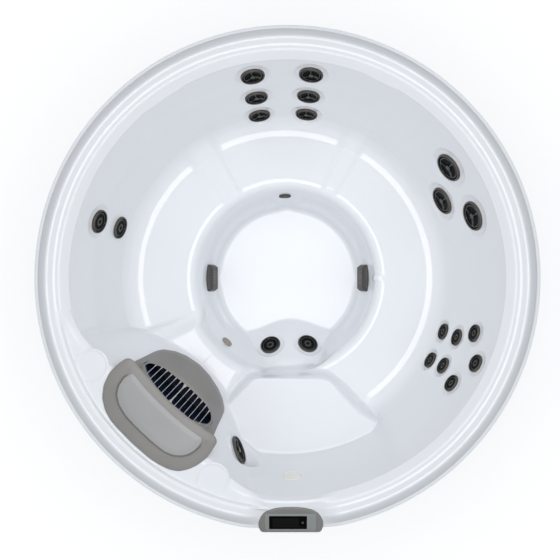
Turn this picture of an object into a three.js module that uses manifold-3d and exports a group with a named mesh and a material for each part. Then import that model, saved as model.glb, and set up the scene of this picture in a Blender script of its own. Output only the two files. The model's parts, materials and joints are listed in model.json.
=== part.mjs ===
// Round acrylic hot tub, modelled in millimetres with +Z up.
// The origin is the centre of the underside of the base pan, +Y is the back of the tub
// and the control panel is on the -Y side.
import * as THREE from 'three';
import { mergeVertices } from 'three/addons/utils/BufferGeometryUtils.js';
import Module from 'manifold-3d';

const wasm = await Module();
wasm.setup();

// Overall sizes
const rimRadius = 990;
const tubHeight = 890;
const shellWall = 10;
const seatGap = 0.3;
const overrun = 40;

// Base pan
const panDeck = 40;
const panSkin = 12;
const panRibWidth = 30;
const panCentreShare = 0.157;
const panRibShares = [0.576];
const panSides = 32;

// Footwell
const floorFillet = 26;
const fittingPadBulge = 9;

// Bench seats
const seatEdgeRise = 5;
const seatEdgeFillet = 20;
const seatDish = 6;
const seatFillet = 60;
const ledgeRise = 38;
const dividerRise = 20;

// Depths of the rim's lines below its crest, from the crease outwards
const creaseDepth = 38;
const ridgeDepth = 14;
const innerLandDepth = 11.5;
const rampDepth = 7.5;
const outerLandDepth = 5.5;
const crestStartDepth = 3;
const shoulderDepth = 6;
const rollDepth = 24;
const lipDepth = 48;
const lipThickness = 8;

// Filter block with its deck, in the front left quarter
const blockAzimuth = 226.8;
const deckDepth = 22;
const deckStep = 10;
const cupDepth = 25;
const cupPlaceAngle = 22.8;

// Radii and reaches as shares of the rim's radius
const radiusShares = {
  floorRadius: 0.3515,
  footLineRadius: 0.402,
  footLineFrontRadius: 0.4404,
  seatEdgeRadius: 0.4515,
  seatEdgeFrontRadius: 0.497,
  wallBottomRadius: 0.7323,
  wallBottomFrontRadius: 0.7778,
  kneeRadius: 0.8172,
  kneeFrontRadius: 0.8374,
  creaseRadius: 0.8657,
  ridgeRadius: 0.895,
  innerLandRadius: 0.9081,
  rampRadius: 0.9212,
  outerLandRadius: 0.9394,
  crestStartRadius: 0.9444,
  crestRadius: 0.9566,
  shoulderRadius: 0.9737,
  rollRadius: 0.9869,
  lipRootRadius: 0.9909,
  deckChord: 0.7323,
  deckReach: 0.9121,
  cupPlaceRadius: 0.8444,
  cupTopRadius: 0.0626,
  cupFloorRadius: 0.0545,
  frontSeatReach: 0.4535,
  domeReach: 0.2091,
  housingNose: 0.5495,
  housingBack: 0.7424,
  grilleInnerReach: 0.6202,
  grilleOuterReach: 0.6707,
  grilleHalfLength: 0.1737,
  lidReach: 0.8939,
  lidInnerReach: 0.6515,
  lidPanelInnerReach: 0.7051,
  lidHalfLength: 0.2576,
  bucketPlace: 0.7889,
  bucketRadius: 0.0889,
  cartridgeRadius: 0.0747,
  cabinetRadius: 0.9646,
  ringPipeRadius: 0.8081,
  pumpReach: 0.6616,
  heaterReach: 0.8434,
  boxReach: 0.7828,
};

// Levels and lengths as shares of the tub's height
const levelShares = {
  footLineHeight: 0.3034,
  seatLevel: 0.3876,
  kneeLevel: 0.7753,
  frontSeatLevel: 0.5056,
  domeTopLevel: 0.2809,
  housingBottom: 0.5843,
  bucketDepth: 0.4382,
  cartridgeLength: 0.3708,
  sideJetLevel: 0.6461,
  lensHeight: 0.7584,
  suctionLevel: 0.191,
  returnLevel: 0.264,
  ozoneLevel: 0.2652,
  ringPipeLevel: 0.3371,
};

// Jets: flange diameters and shares of the flange radius
const largeJet = 127;
const mediumJet = 100;
const smallJet = 76;
const flangeThickness = 11;
const padSink = 1.5;
const jetBodyDepth = 42;
const jetBodyGap = 2;
const footPipeSwing = 14;
const jetSides = 10;
const barrelSides = 6;
const barrelShare = 0.6;
const boreShare = 0.34;
const rotorShare = 0.66;
const padShare = 1.24;

// Skimmer housing, filter lid, bucket and cartridge
const housingSkin = 6;
const housingClearance = 0.4;
const grilleBars = 13;
const grilleSpanShare = 0.907;
const grilleBarWidth = 3.5;
const grilleBarDepth = 9;
const lidHeight = 13;
const lidSkin = 5;
const lidPanelRise = 4;
const bucketSkin = 4;
const bucketFlange = 7;
const cartridgeBore = 25;
const cartridgePleats = 16;
const cartridgePleatDepth = 7;

// Control panel on the front of the rim
const panelWidth = 254;
const panelLength = 120;
const panelThickness = 8.7;
const panelTilt = 20;
const panelOffset = 12;
const panelTopDepth = 26;
const panelLandHalf = 150;
const panelLandWall = 12;
const panelSpigotWidth = 150;
const panelSpigotLength = 56;
const plateWidth = 200;
const plateLength = 76;
const plateThickness = 3;
const screenWidth = 147;
const screenLength = 56;
const screenThickness = 2;
const screenOffset = 11;

// Fittings on the acrylic
const lensDiameter = 80;
const lensThickness = 9;
const lensAzimuth = 271.4;
const suctionWidth = 133;
const suctionHeight = 108;
const suctionDepth = 25;
const fittingDiameter = 54;
const fittingThickness = 9;
const returnAzimuth = 91.8;
const ozoneAzimuth = 226.6;

// Cabinet
const cabinetSkin = 16;
const cabinetTopDepth = 64;
const cabinetSeam = 4;
const planksPerPanel = 9;
const plankGroove = 5;
const plankGrooveDepth = 4;
const postWidth = 60;
const postSetback = 2;
const postClearance = 0.3;

// Equipment below the seats
const pipeRadius = 17;
const motorRadius = 78;
const motorLength = 250;
const wetEndRadius = 102;
const wetEndLength = 92;
const pumpFootHeight = 18;
const heaterRadius = 32;
const heaterLength = 360;
const boxWidth = 300;
const boxDepth = 110;
const boxHeight = 200;
const boxAzimuth = 318;
const drainRadius = 20;
const drainLength = 70;
const drainLevel = 85;
const drainAzimuth = 296;

// Sizes that follow from the ones above
function scaled(shares, size) {
  return Object.fromEntries(Object.entries(shares).map(([name, share]) => [name, share * size]));
}

const {
  floorRadius, footLineRadius, footLineFrontRadius, seatEdgeRadius, seatEdgeFrontRadius, wallBottomRadius,
  wallBottomFrontRadius, kneeRadius, kneeFrontRadius, creaseRadius, ridgeRadius, innerLandRadius, rampRadius,
  outerLandRadius, crestStartRadius, crestRadius, shoulderRadius, rollRadius, lipRootRadius, deckChord, deckReach,
  cupPlaceRadius, cupTopRadius, cupFloorRadius, frontSeatReach, domeReach, housingNose, housingBack,
  grilleInnerReach, grilleOuterReach, grilleHalfLength, lidReach, lidInnerReach, lidPanelInnerReach, lidHalfLength,
  bucketPlace, bucketRadius, cartridgeRadius, cabinetRadius, ringPipeRadius, pumpReach, heaterReach, boxReach,
} = scaled(radiusShares, rimRadius);
const {
  footLineHeight, seatLevel, kneeLevel, frontSeatLevel, domeTopLevel, housingBottom, bucketDepth, cartridgeLength,
  sideJetLevel, lensHeight, suctionLevel, returnLevel, ozoneLevel, ringPipeLevel,
} = scaled(levelShares, tubHeight);
const floorLevel = panDeck + seatGap + shellWall;
const deckLevel = tubHeight - deckDepth;
const creaseLevel = tubHeight - creaseDepth;
const ledgeLevel = seatLevel + ledgeRise;
const cabinetTop = tubHeight - cabinetTopDepth;
const grillePitch = (2 * grilleHalfLength * grilleSpanShare) / (grilleBars - 1);

const radians = THREE.MathUtils.degToRad;
const fullTurn = 360;
const halfTurn = fullTurn / 2;
const quarterTurn = fullTurn / 4;
const weldShare = 1e-4;

// Colours, as photographed
const acrylicWhite = { color: 0xe4e8f0, roughness: 0.16, metalness: 0 };
const lidGrey = { color: 0x9a9a98, roughness: 0.55, metalness: 0 };
const housingGrey = { color: 0x8a8885, roughness: 0.55, metalness: 0 };
const jetPewter = { color: 0x6a665f, roughness: 0.35, metalness: 0.6 };
const jetBlack = { color: 0x15191a, roughness: 0.4, metalness: 0 };
const panelGrey = { color: 0x777675, roughness: 0.5, metalness: 0 };
const plateGreen = { color: 0x8a8e8c, roughness: 0.5, metalness: 0 };
const screenBlack = { color: 0x151515, roughness: 0.1, metalness: 0 };
const lensCream = { color: 0xe2e1dc, roughness: 0.25, metalness: 0 };
const fittingGrey = { color: 0x4c4a48, roughness: 0.5, metalness: 0 };
const returnGrey = { color: 0x9b948a, roughness: 0.45, metalness: 0 };
const cabinetGrey = { color: 0x5d5a57, roughness: 0.8, metalness: 0 };
const panBlack = { color: 0x222222, roughness: 0.7, metalness: 0 };
const timber = { color: 0xa8865c, roughness: 0.85, metalness: 0 };
const pipeWhite = { color: 0xdcdcd8, roughness: 0.5, metalness: 0 };
const motorSteel = { color: 0x3b4048, roughness: 0.45, metalness: 0.7 };
const heaterSteel = { color: 0xb9bcc0, roughness: 0.3, metalness: 1 };
const boxGrey = { color: 0x70757a, roughness: 0.6, metalness: 0 };
const paperWhite = { color: 0xe9ebee, roughness: 0.9, metalness: 0 };

// Small helpers

function smooth(share) {
  const s = Math.min(1, Math.max(0, share));
  return s * s * (3 - 2 * s);
}

function lerp(a, b, share) {
  return a + (b - a) * share;
}

// Window that is 1 between two azimuths and fades to 0 over a number of degrees outside them
function sector(azimuth, from, to, fade) {
  const rise = smooth((azimuth - from + fade) / fade);
  const fall = smooth((to + fade - azimuth) / fade);
  return Math.min(rise, fall);
}

function polar(radius, azimuth, height) {
  const angle = radians(azimuth);
  return [radius * Math.cos(angle), radius * Math.sin(angle), height];
}

// Place given by its reach out from the centre along an azimuth and its offset across it
function across(reach, offset, height, azimuth = blockAzimuth) {
  const angle = radians(azimuth);
  const x = reach * Math.cos(angle) - offset * Math.sin(angle);
  const y = reach * Math.sin(angle) + offset * Math.cos(angle);
  return [x, y, height];
}

function toSolid(geometry) {
  const merged = mergeVertices(stripped(geometry), weldShare);
  const vertProperties = new Float32Array(merged.attributes.position.array);
  const triVerts = new Uint32Array(merged.index.array);
  return new wasm.Manifold(new wasm.Mesh({ numProp: 3, vertProperties, triVerts }));
}

function toGeometry(solid) {
  const mesh = solid.getMesh();
  const geometry = new THREE.BufferGeometry();
  geometry.setAttribute('position', new THREE.Float32BufferAttribute(mesh.vertProperties, 3));
  geometry.setIndex(new THREE.Uint32BufferAttribute(mesh.triVerts, 1));
  return geometry;
}

function cut(solid, ...tools) {
  return tools.reduce((rest, tool) => rest.subtract(tool), solid);
}

function join(...solids) {
  return solids.reduce((sum, solid) => sum.add(solid));
}

// Closed loft through rings of points that have the same count; its end caps are fans
function loft(rings) {
  const count = rings[0].length;
  const positions = rings.flat(2);
  const index = [];
  for (let ring = 0; ring + 1 < rings.length; ring += 1) {
    for (let i = 0; i < count; i += 1) {
      const next = (i + 1) % count;
      const a = ring * count + i;
      const b = ring * count + next;
      const c = (ring + 1) * count + i;
      const d = (ring + 1) * count + next;
      index.push(a, b, d, a, d, c);
    }
  }
  for (const ring of [0, rings.length - 1]) {
    const middle = [0, 1, 2].map((axis) => rings[ring].reduce((sum, p) => sum + p[axis], 0) / count);
    const centre = positions.length / 3;
    positions.push(...middle);
    for (let i = 0; i < count; i += 1) {
      const a = ring * count + i;
      const b = ring * count + ((i + 1) % count);
      index.push(...(ring === 0 ? [centre, b, a] : [centre, a, b]));
    }
  }
  const geometry = new THREE.BufferGeometry();
  geometry.setAttribute('position', new THREE.Float32BufferAttribute(positions, 3));
  geometry.setIndex(index);
  return signedVolume(geometry) < 0 ? flipped(geometry) : geometry;
}

function signedVolume(geometry) {
  const [a, b, c] = [new THREE.Vector3(), new THREE.Vector3(), new THREE.Vector3()];
  const points = geometry.attributes.position;
  let sum = 0;
  for (let i = 0; i < geometry.index.count; i += 3) {
    a.fromBufferAttribute(points, geometry.index.getX(i));
    b.fromBufferAttribute(points, geometry.index.getX(i + 1));
    c.fromBufferAttribute(points, geometry.index.getX(i + 2));
    sum += a.dot(b.cross(c));
  }
  return sum / 6;
}

function flipped(geometry) {
  const index = geometry.index.array;
  for (let i = 0; i < index.length; i += 3) {
    [index[i + 1], index[i + 2]] = [index[i + 2], index[i + 1]];
  }
  return geometry;
}

// Body of revolution from (radius, height) pairs; it starts and ends on the axis or closes
function turned(profile, sides) {
  const points = profile.map(([radius, height]) => new THREE.Vector2(radius, height));
  if (profile[0][0] > 0) {
    points.push(points[0].clone());
  }
  const geometry = new THREE.LatheGeometry(points, sides);
  geometry.rotateX(Math.PI / 2);
  const merged = mergeVertices(stripped(geometry), weldShare);
  return signedVolume(merged) < 0 ? flipped(merged) : merged;
}

function stripped(geometry) {
  const bare = geometry.clone();
  bare.deleteAttribute('normal');
  bare.deleteAttribute('uv');
  return bare;
}

function rod(radius, from, to, sides) {
  return turned([[0, from], [radius, from], [radius, to], [0, to]], sides);
}

function extruded(points, from, to) {
  const shape = new THREE.Shape(points.map(([x, y]) => new THREE.Vector2(x, y)));
  const geometry = new THREE.ExtrudeGeometry(shape, { depth: to - from, bevelEnabled: false });
  geometry.translate(0, 0, from);
  return geometry;
}

// Frame with local +Z along a normal and local +X level
function frameAt(point, normal) {
  const z = new THREE.Vector3(...normal).normalize();
  const upright = Math.abs(z.z) > Math.cos(radians(1));
  const x = new THREE.Vector3(0, upright ? 1 : 0, upright ? 0 : 1).cross(z).normalize();
  const y = z.clone().cross(x);
  return new THREE.Matrix4().makeBasis(x, y, z).setPosition(...point);
}

function placed(geometry, matrix) {
  return geometry.clone().applyMatrix4(matrix);
}

function placedSolid(geometry, matrix) {
  return toSolid(placed(geometry, matrix));
}

// Offsets an open profile of (radius, height) pairs to its right-hand side
function offsetProfile(profile, distance) {
  return profile.map(([radius, height], i) => {
    const before = profile[Math.max(0, i - 1)];
    const after = profile[Math.min(profile.length - 1, i + 1)];
    const first = new THREE.Vector2(radius - before[0], height - before[1]);
    const second = new THREE.Vector2(after[0] - radius, after[1] - height);
    const normals = [first, second].filter((v) => v.length() > 0)
      .map((v) => new THREE.Vector2(v.y, -v.x).normalize());
    const mean = normals.reduce((sum, n) => sum.add(n), new THREE.Vector2()).normalize();
    const stretch = distance / Math.max(0.5, mean.dot(normals[normals.length - 1].clone().normalize()));
    return [radius + mean.x * stretch, height + mean.y * stretch];
  });
}

// Moves the points of a closed outline along their mean normals
function offsetOutline(points, distance) {
  const area = points.reduce((sum, [x, y], i) => {
    const [nextX, nextY] = points[(i + 1) % points.length];
    return sum + x * nextY - nextX * y;
  }, 0);
  const side = Math.sign(area) * distance;
  return points.map(([x, y], i) => {
    const [beforeX, beforeY] = points[(i + points.length - 1) % points.length];
    const [afterX, afterY] = points[(i + 1) % points.length];
    const first = new THREE.Vector2(y - beforeY, beforeX - x).normalize();
    const second = new THREE.Vector2(afterY - y, x - afterX).normalize();
    const mean = first.clone().add(second).normalize();
    const stretch = side / Math.max(0.5, mean.dot(first));
    return [x + mean.x * stretch, y + mean.y * stretch];
  });
}

// Replaces a corner of a profile by an arc of the given radius
function fillet([beforeX, beforeY], [x, y], [afterX, afterY], radius, steps) {
  const corner = new THREE.Vector2(x, y);
  const back = new THREE.Vector2(beforeX, beforeY).sub(corner);
  const ahead = new THREE.Vector2(afterX, afterY).sub(corner);
  const room = Math.min(back.length(), ahead.length()) / 2;
  back.normalize();
  ahead.normalize();
  const half = Math.acos(THREE.MathUtils.clamp(back.dot(ahead), -1, 1)) / 2;
  const tangent = Math.min(radius / Math.tan(half), room);
  const reach = tangent * Math.tan(half);
  const centre = back.clone().add(ahead).normalize().multiplyScalar(reach / Math.sin(half)).add(corner);
  const start = back.multiplyScalar(tangent).add(corner).sub(centre);
  const turn = (Math.PI - 2 * half) * Math.sign(start.cross(ahead) || 1);
  return Array.from({ length: steps + 1 }, (_, i) => {
    const point = start.clone().rotateAround(new THREE.Vector2(), turn * (i / steps)).add(centre);
    return [point.x, point.y];
  });
}

// Acrylic shell: section through the basin at an azimuth

const dividerAzimuths = [61.9, 123.2];
const dividerSpread = 4.5;
const dividerBackShare = 0.6;
const fittingPadAzimuths = [0, 90, 180];
const fittingPadSpread = 7;

function dividerShare(azimuth) {
  const humps = dividerAzimuths.map((at) => smooth(1 - Math.abs(azimuth - at) / dividerSpread));
  return Math.max(...humps);
}

function padBulgeShare(azimuth) {
  const folded = fittingPadAzimuths.map((at) => {
    const apart = Math.abs(((azimuth - at + fullTurn + halfTurn) % fullTurn) - halfTurn);
    return Math.max(0, 1 - apart / fittingPadSpread);
  });
  return Math.max(...folded);
}

// Azimuths where a feature of the basin starts and ends, and the angle over which it fades
const footSector = [215, 285, 25];
const edgeSector = [210, 262, 8];
const frontSector = [262, 298, 8];
const ledgeEdgeSector = [208, 270, 4];
const ledgeBackSector = [202, 270, 4];

// Corner points of the basin's section: floor edge, foot line, seat edge, seat back, knee, crease
function basinCorners(azimuth) {
  const footShare = sector(azimuth, ...footSector);
  const edgeShare = sector(azimuth, ...edgeSector);
  const frontShare = sector(azimuth, ...frontSector);
  const divider = dividerRise * dividerShare(azimuth);
  const edgeRise = lerp(seatLevel, ledgeLevel, sector(azimuth, ...ledgeEdgeSector));
  const backRise = lerp(seatLevel, ledgeLevel, sector(azimuth, ...ledgeBackSector));
  return {
    floor: [floorRadius + fittingPadBulge * padBulgeShare(azimuth), floorLevel],
    foot: [lerp(footLineRadius, footLineFrontRadius, footShare), footLineHeight],
    edge: [lerp(seatEdgeRadius, seatEdgeFrontRadius, edgeShare), edgeRise + seatEdgeRise + divider],
    back: [lerp(wallBottomRadius, wallBottomFrontRadius, frontShare), backRise + divider * dividerBackShare],
    knee: [lerp(kneeRadius, kneeFrontRadius, frontShare), kneeLevel],
    crease: [creaseRadius, creaseLevel],
  };
}

function basinProfile(azimuth) {
  const { floor, foot, edge, back, knee, crease } = basinCorners(azimuth);
  const middle = [(edge[0] + back[0]) / 2, (edge[1] + back[1]) / 2 - seatDish];
  return [
    ...fillet([0, floorLevel], floor, foot, floorFillet, 1),
    foot,
    ...fillet(foot, edge, middle, seatEdgeFillet, 1),
    middle,
    ...fillet(middle, back, knee, seatFillet, 3),
    knee,
    crease,
  ];
}

const rimProfile = [
  [ridgeRadius, tubHeight - ridgeDepth],
  [innerLandRadius, tubHeight - innerLandDepth],
  [rampRadius, tubHeight - rampDepth],
  [outerLandRadius, tubHeight - outerLandDepth],
  [crestStartRadius, tubHeight - crestStartDepth],
  [crestRadius, tubHeight],
  [shoulderRadius, tubHeight - shoulderDepth],
  [rollRadius, tubHeight - rollDepth],
  [lipRootRadius, tubHeight - lipDepth],
  [rimRadius, tubHeight - lipDepth],
];

const rimUnderside = [
  [rimRadius, tubHeight - lipDepth - lipThickness],
  [lipRootRadius - shellWall, tubHeight - lipDepth - lipThickness],
  [rollRadius - shellWall, tubHeight - rollDepth - shellWall / 2],
  [shoulderRadius - shellWall / 2, tubHeight - shoulderDepth - shellWall],
  [crestStartRadius, tubHeight - crestStartDepth - shellWall],
  [innerLandRadius, tubHeight - innerLandDepth - shellWall],
];

function underProfile(azimuth, distance) {
  const { floor, foot, edge, back, knee, crease } = basinCorners(azimuth);
  const middle = [(edge[0] + back[0]) / 2, (edge[1] + back[1]) / 2 - seatDish];
  const ridge = rimProfile[0];
  const path = [
    [0, floorLevel],
    ...fillet([0, floorLevel], floor, foot, floorFillet, 1),
    foot,
    edge,
    ...fillet(middle, back, knee, seatFillet, 1),
    knee,
    crease,
    ridge,
  ];
  return offsetProfile(path, distance).slice(1);
}

const shellStep = 10;
const stationSet = new Set(Array.from({ length: fullTurn / shellStep }, (_, i) => i * shellStep));
for (const at of dividerAzimuths) {
  for (const side of [-1, -0.5, 0, 0.5, 1]) {
    stationSet.add(at + side * dividerSpread);
  }
}
const stationGap = 0.8;
const stations = [...stationSet].sort((a, b) => a - b)
  .filter((at, i, all) => i === 0 || at - all[i - 1] > stationGap);

function ringsOf(profiles) {
  return profiles[0].map((_, k) => stations.map((at, i) => polar(profiles[i][k][0], at, profiles[i][k][1])));
}

function sheetSolid() {
  const rim = [...rimProfile, ...rimUnderside];
  const profiles = stations.map((at) => [
    ...basinProfile(at),
    ...rim,
    ...underProfile(at, shellWall).reverse(),
  ]);
  return toSolid(loft(ringsOf(profiles)));
}

// Room above the middle of the sheet, which trims what stands up inside the basin
function roomSolid() {
  const top = tubHeight + overrun;
  const profiles = stations.map((at) => {
    const middle = underProfile(at, shellWall / 2);
    return [...middle, [deckReach + deckStep, deckLevel], [deckReach + deckStep, top]];
  });
  return toSolid(loft(ringsOf(profiles)));
}

// Filter block: ruled faces between an outline at seat level and the straight edge of its deck
const blockBaseShares = [
  [0.952, -0.628], [0.872, -0.455], [0.778, -0.252], [0.746, -0.014],
  [0.767, 0.207], [0.814, 0.297], [0.914, 0.492], [0.921, 0.662],
];
const blockTopShares = [
  [1, -0.772], [1, -0.596], [1, -0.331], [1, -0.021],
  [1, 0.262], [1, 0.366], [1, 0.524], [1, 0.772],
];
const blockRearAngles = [36, 18, 0, -18, -36];

function blockOutline(shares, inset, reach) {
  const front = shares.map(([n, t]) => [n * deckChord, t * deckChord]);
  const rear = blockRearAngles.map((angle) => polar(reach, angle, 0).slice(0, 2));
  return offsetOutline([...front, ...rear], -inset);
}

function blockSolid(inset, top, bottom, reach) {
  const levels = [[blockBaseShares, seatLevel], [blockTopShares, deckLevel]];
  const [base, crown] = levels.map(([shares]) => blockOutline(shares, inset, reach));
  const at = (height) => {
    const share = (height - seatLevel) / (deckLevel - seatLevel);
    return base.map(([n, t], i) => across(lerp(n, crown[i][0], share), lerp(t, crown[i][1], share), height));
  };
  return toSolid(loft([at(bottom), at(top)]));
}

// Front seat: outlines as shares of the reach of its front edge, at its top, half way and at the floor
const frontSeatTopShares = [
  [-0.345, -1], [0.37, -1], [0.43, -1.02], [0.612, -1.229], [0.739, -1.356], [0.949, -1.47],
  [1.25, -1.6], [0.95, -1.8], [0, -1.93], [-0.67, -1.83], [-0.94, -1.6], [-0.559, -1.209],
];
const frontSeatMidShares = [
  [-0.49, -0.975], [0.42, -0.915], [0.62, -1.078], [0.864, -1.325], [1, -1.388], [1.076, -1.41],
  [1.35, -1.55], [1, -1.84], [0, -1.97], [-0.7, -1.87], [-1, -1.6], [-0.635, -1.131],
];
const frontSeatLowShare = 0.0757;

function frontSeatSolid(inset, top, bottom) {
  const outline = (shares, shift, height) => {
    const points = shares.map(([x, y]) => [x * frontSeatReach, y * frontSeatReach + shift]);
    return offsetOutline(points, -inset).map(([x, y]) => [x, y, height]);
  };
  return toSolid(loft([
    outline(frontSeatMidShares, frontSeatLowShare * frontSeatReach, bottom),
    outline(frontSeatMidShares, 0, footLineHeight),
    outline(frontSeatTopShares, 0, top),
  ]));
}

// Foot dome: a bell-shaped outline that draws back as it rises
const domeFloorShares = [
  [-1.034, -1.324], [-0.725, -1.261], [-0.483, -1.159], [-0.242, -1.053], [0.048, -1],
  [0.338, -1.039], [0.58, -1.121], [0.821, -1.217], [1.072, -1.27],
  [1.45, -2.03], [0.05, -2.5], [-1.4, -2.03],
];
const domeTopShares = [
  [-0.71, -2.13], [-0.49, -2.08], [-0.32, -2], [-0.155, -1.93], [0.048, -1.894],
  [0.25, -1.92], [0.42, -1.99], [0.59, -2.07], [0.763, -2.13],
  [1.01, -2.42], [0.05, -2.7], [-0.97, -2.42],
];

function domeGeometry(inset, drop, bottom) {
  const floorOutline = offsetOutline(domeFloorShares.map(([x, y]) => [x * domeReach, y * domeReach]), -inset);
  const topOutline = offsetOutline(domeTopShares.map(([x, y]) => [x * domeReach, y * domeReach]), -inset);
  const at = (height, level) => {
    const share = (height - floorLevel) / (domeTopLevel - floorLevel);
    return floorOutline.map(([x, y], i) => [
      lerp(x, topOutline[i][0], share), lerp(y, topOutline[i][1], share), level,
    ]);
  };
  return loft([at(bottom, bottom), at(floorLevel, floorLevel), at(domeTopLevel - drop, domeTopLevel - drop)]);
}

// Cylinder for the cup holders and the shallow cup cut into it
function cupPlace(side) {
  const [x, y] = polar(cupPlaceRadius, blockAzimuth + side * cupPlaceAngle, 0);
  return new THREE.Matrix4().setPosition(x, y, deckLevel);
}

const cupBody = rod(cupTopRadius + shellWall, -cupDepth - shellWall, -shellWall / 2, 16);
const cupHollow = turned([
  [0, -cupDepth], [cupFloorRadius, -cupDepth], [cupTopRadius, 0], [cupTopRadius, overrun], [0, overrun],
], 16);

// Deck around the filter lid, up to the step in the rim
function deckSegment(chord, reach, from, to) {
  const limit = Math.acos(chord / reach);
  const steps = 12;
  const arc = Array.from({ length: steps + 1 }, (_, i) => {
    const angle = radians(blockAzimuth) + lerp(-limit, limit, i / steps);
    return [reach * Math.cos(angle), reach * Math.sin(angle)];
  });
  return toSolid(extruded(arc, from, to));
}

// Jets on the curved wall: name, flange diameter, azimuths with heights as shares of the tub's height
const wallJets = [
  { name: 'jet_back', diameter: mediumJet, rotor: true, placeShares: [
    [99.8, 0.8539], [83.4, 0.8539], [99.8, 0.6652], [83.4, 0.6652], [99.8, 0.4831], [83.4, 0.4831]] },
  { name: 'jet_right', diameter: largeJet, rotor: true, placeShares: [
    [34.4, 0.7809], [18.5, 0.7809], [26.5, 0.5674]] },
  { name: 'jet_lumbar', diameter: smallJet, rotor: false, placeShares: [
    [341, 0.4831], [340.7, 0.6326], [343.5, 0.7775], [330.1, 0.4831], [330.6, 0.6247], [335.6, 0.8708],
    [327.3, 0.7764]] },
  { name: 'jet_left', diameter: mediumJet, rotor: false, placeShares: [[163.3, 0.7899], [163.3, 0.5865]] },
];

const kneeBlendShare = 0.5;

function wallPlace(azimuth, height) {
  const { back, knee, crease } = basinCorners(azimuth);
  const [low, high] = height < knee[1] ? [back, knee] : [knee, crease];
  const share = (height - low[1]) / (high[1] - low[1]);
  const below = Math.atan2(knee[0] - back[0], knee[1] - back[1]);
  const above = Math.atan2(crease[0] - knee[0], crease[1] - knee[1]);
  const tilt = lerp(below, above, smooth((height - knee[1]) / largeJet + kneeBlendShare));
  const [x, y] = polar(-Math.cos(tilt), azimuth, 0);
  return { point: polar(lerp(low[0], high[0], share), azimuth, height), normal: [x, y, Math.sin(tilt)] };
}

// First point where a straight line from inside the basin meets a surface
function surfacePoint(geometry, from, direction) {
  const mesh = new THREE.Mesh(geometry, new THREE.MeshBasicMaterial({ side: THREE.DoubleSide }));
  const caster = new THREE.Raycaster(new THREE.Vector3(...from), new THREE.Vector3(...direction).normalize());
  return caster.intersectObject(mesh)[0].point.toArray();
}

const sideJetAim = 21.5;
const sideJetShare = 0.9;
const footJetElevation = 46;
const footJetShares = [[110, -0.4, -1.6], [70, 0.475, -1.575]];

// The side jet sits on the block's right-hand face and leans up with it
function sideJetPlace() {
  const share = (sideJetLevel - seatLevel) / (deckLevel - seatLevel);
  const [first, second] = [5, 6].map((i) => across(
    lerp(blockBaseShares[i][0], blockTopShares[i][0], share) * deckChord,
    lerp(blockBaseShares[i][1], blockTopShares[i][1], share) * deckChord,
    sideJetLevel,
  ));
  const point = first.map((value, axis) => lerp(value, second[axis], sideJetShare));
  const lean = Math.atan2((1 - blockBaseShares[6][0]) * deckChord, deckLevel - seatLevel);
  return { point, normal: polar(Math.cos(lean), sideJetAim, Math.sin(lean)) };
}

function footJetPlace([aim, x, y]) {
  const normal = polar(Math.cos(radians(footJetElevation)), aim, Math.sin(radians(footJetElevation)));
  const seat = [x * domeReach, y * domeReach, (floorLevel + domeTopLevel) / 2];
  const from = seat.map((value, axis) => value + normal[axis] * domeReach);
  const point = surfacePoint(domeGeometry(0, 0, floorLevel - overrun), from, normal.map((value) => -value));
  return { point, normal };
}

// Sinks a place on the acrylic to its flat pad and gives it a frame with +Z out of the wall
function seated(place) {
  const point = place.point.map((value, axis) => value - place.normal[axis] * padSink);
  return { ...place, point, frame: frameAt(point, place.normal) };
}

const jets = [
  ...wallJets.flatMap(({ name, diameter, rotor, placeShares }) => placeShares.map(([azimuth, share], i) => ({
    name: `${name}_${i + 1}`, diameter, rotor, ...wallPlace(azimuth, share * tubHeight),
  }))),
  { name: 'jet_side_1', diameter: largeJet, rotor: true, ...sideJetPlace() },
  ...footJetShares.map((shares, i) => ({
    name: `jet_foot_${i + 1}`, diameter: mediumJet, rotor: false, ...footJetPlace(shares),
  })),
].map(seated);

// Place on the footwell wall, on the line from the floor edge to the foot line
function footPlace(azimuth, height) {
  const { floor, foot } = basinCorners(azimuth);
  const share = (height - floor[1]) / (foot[1] - floor[1]);
  const tilt = Math.atan2(foot[0] - floor[0], foot[1] - floor[1]);
  const [x, y] = polar(-Math.cos(tilt), azimuth, 0);
  return { point: polar(lerp(floor[0], foot[0], share), azimuth, height), normal: [x, y, Math.sin(tilt)] };
}

const roundFittings = [
  { name: 'light_lens', diameter: lensDiameter, thickness: lensThickness, look: lensCream,
    ...wallPlace(lensAzimuth, lensHeight) },
  { name: 'return_fitting', diameter: fittingDiameter, thickness: fittingThickness, look: returnGrey,
    ...footPlace(returnAzimuth, returnLevel) },
  { name: 'ozone_fitting', diameter: fittingDiameter, thickness: fittingThickness, look: returnGrey,
    ...footPlace(ozoneAzimuth, ozoneLevel) },
].map(seated);

const suctionStandOff = (suctionWidth / 2) ** 2 / (2 * floorRadius) + fittingPadBulge * 0.7;
const suctionSpigot = suctionHeight * 0.3;
const suctionCovers = [
  { name: 'suction_cover_right', ...footPlace(fittingPadAzimuths[0], suctionLevel) },
  { name: 'suction_cover_left', ...footPlace(fittingPadAzimuths[2], suctionLevel) },
].map((place) => ({ ...place, frame: frameAt(place.point, place.normal) }));

function barrelOf(diameter) {
  return (diameter / 2) * barrelShare;
}

// Round hole whose flats clear the turning barrel
function roundHole(radius, frame) {
  const hole = radius / Math.cos(Math.PI / barrelSides) + seatGap;
  return placedSolid(rod(hole, -overrun, overrun, barrelSides), frame);
}

function flatPad(diameter, frame) {
  return placedSolid(rod((diameter / 2) * padShare, 0, overrun, barrelSides), frame);
}

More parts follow.
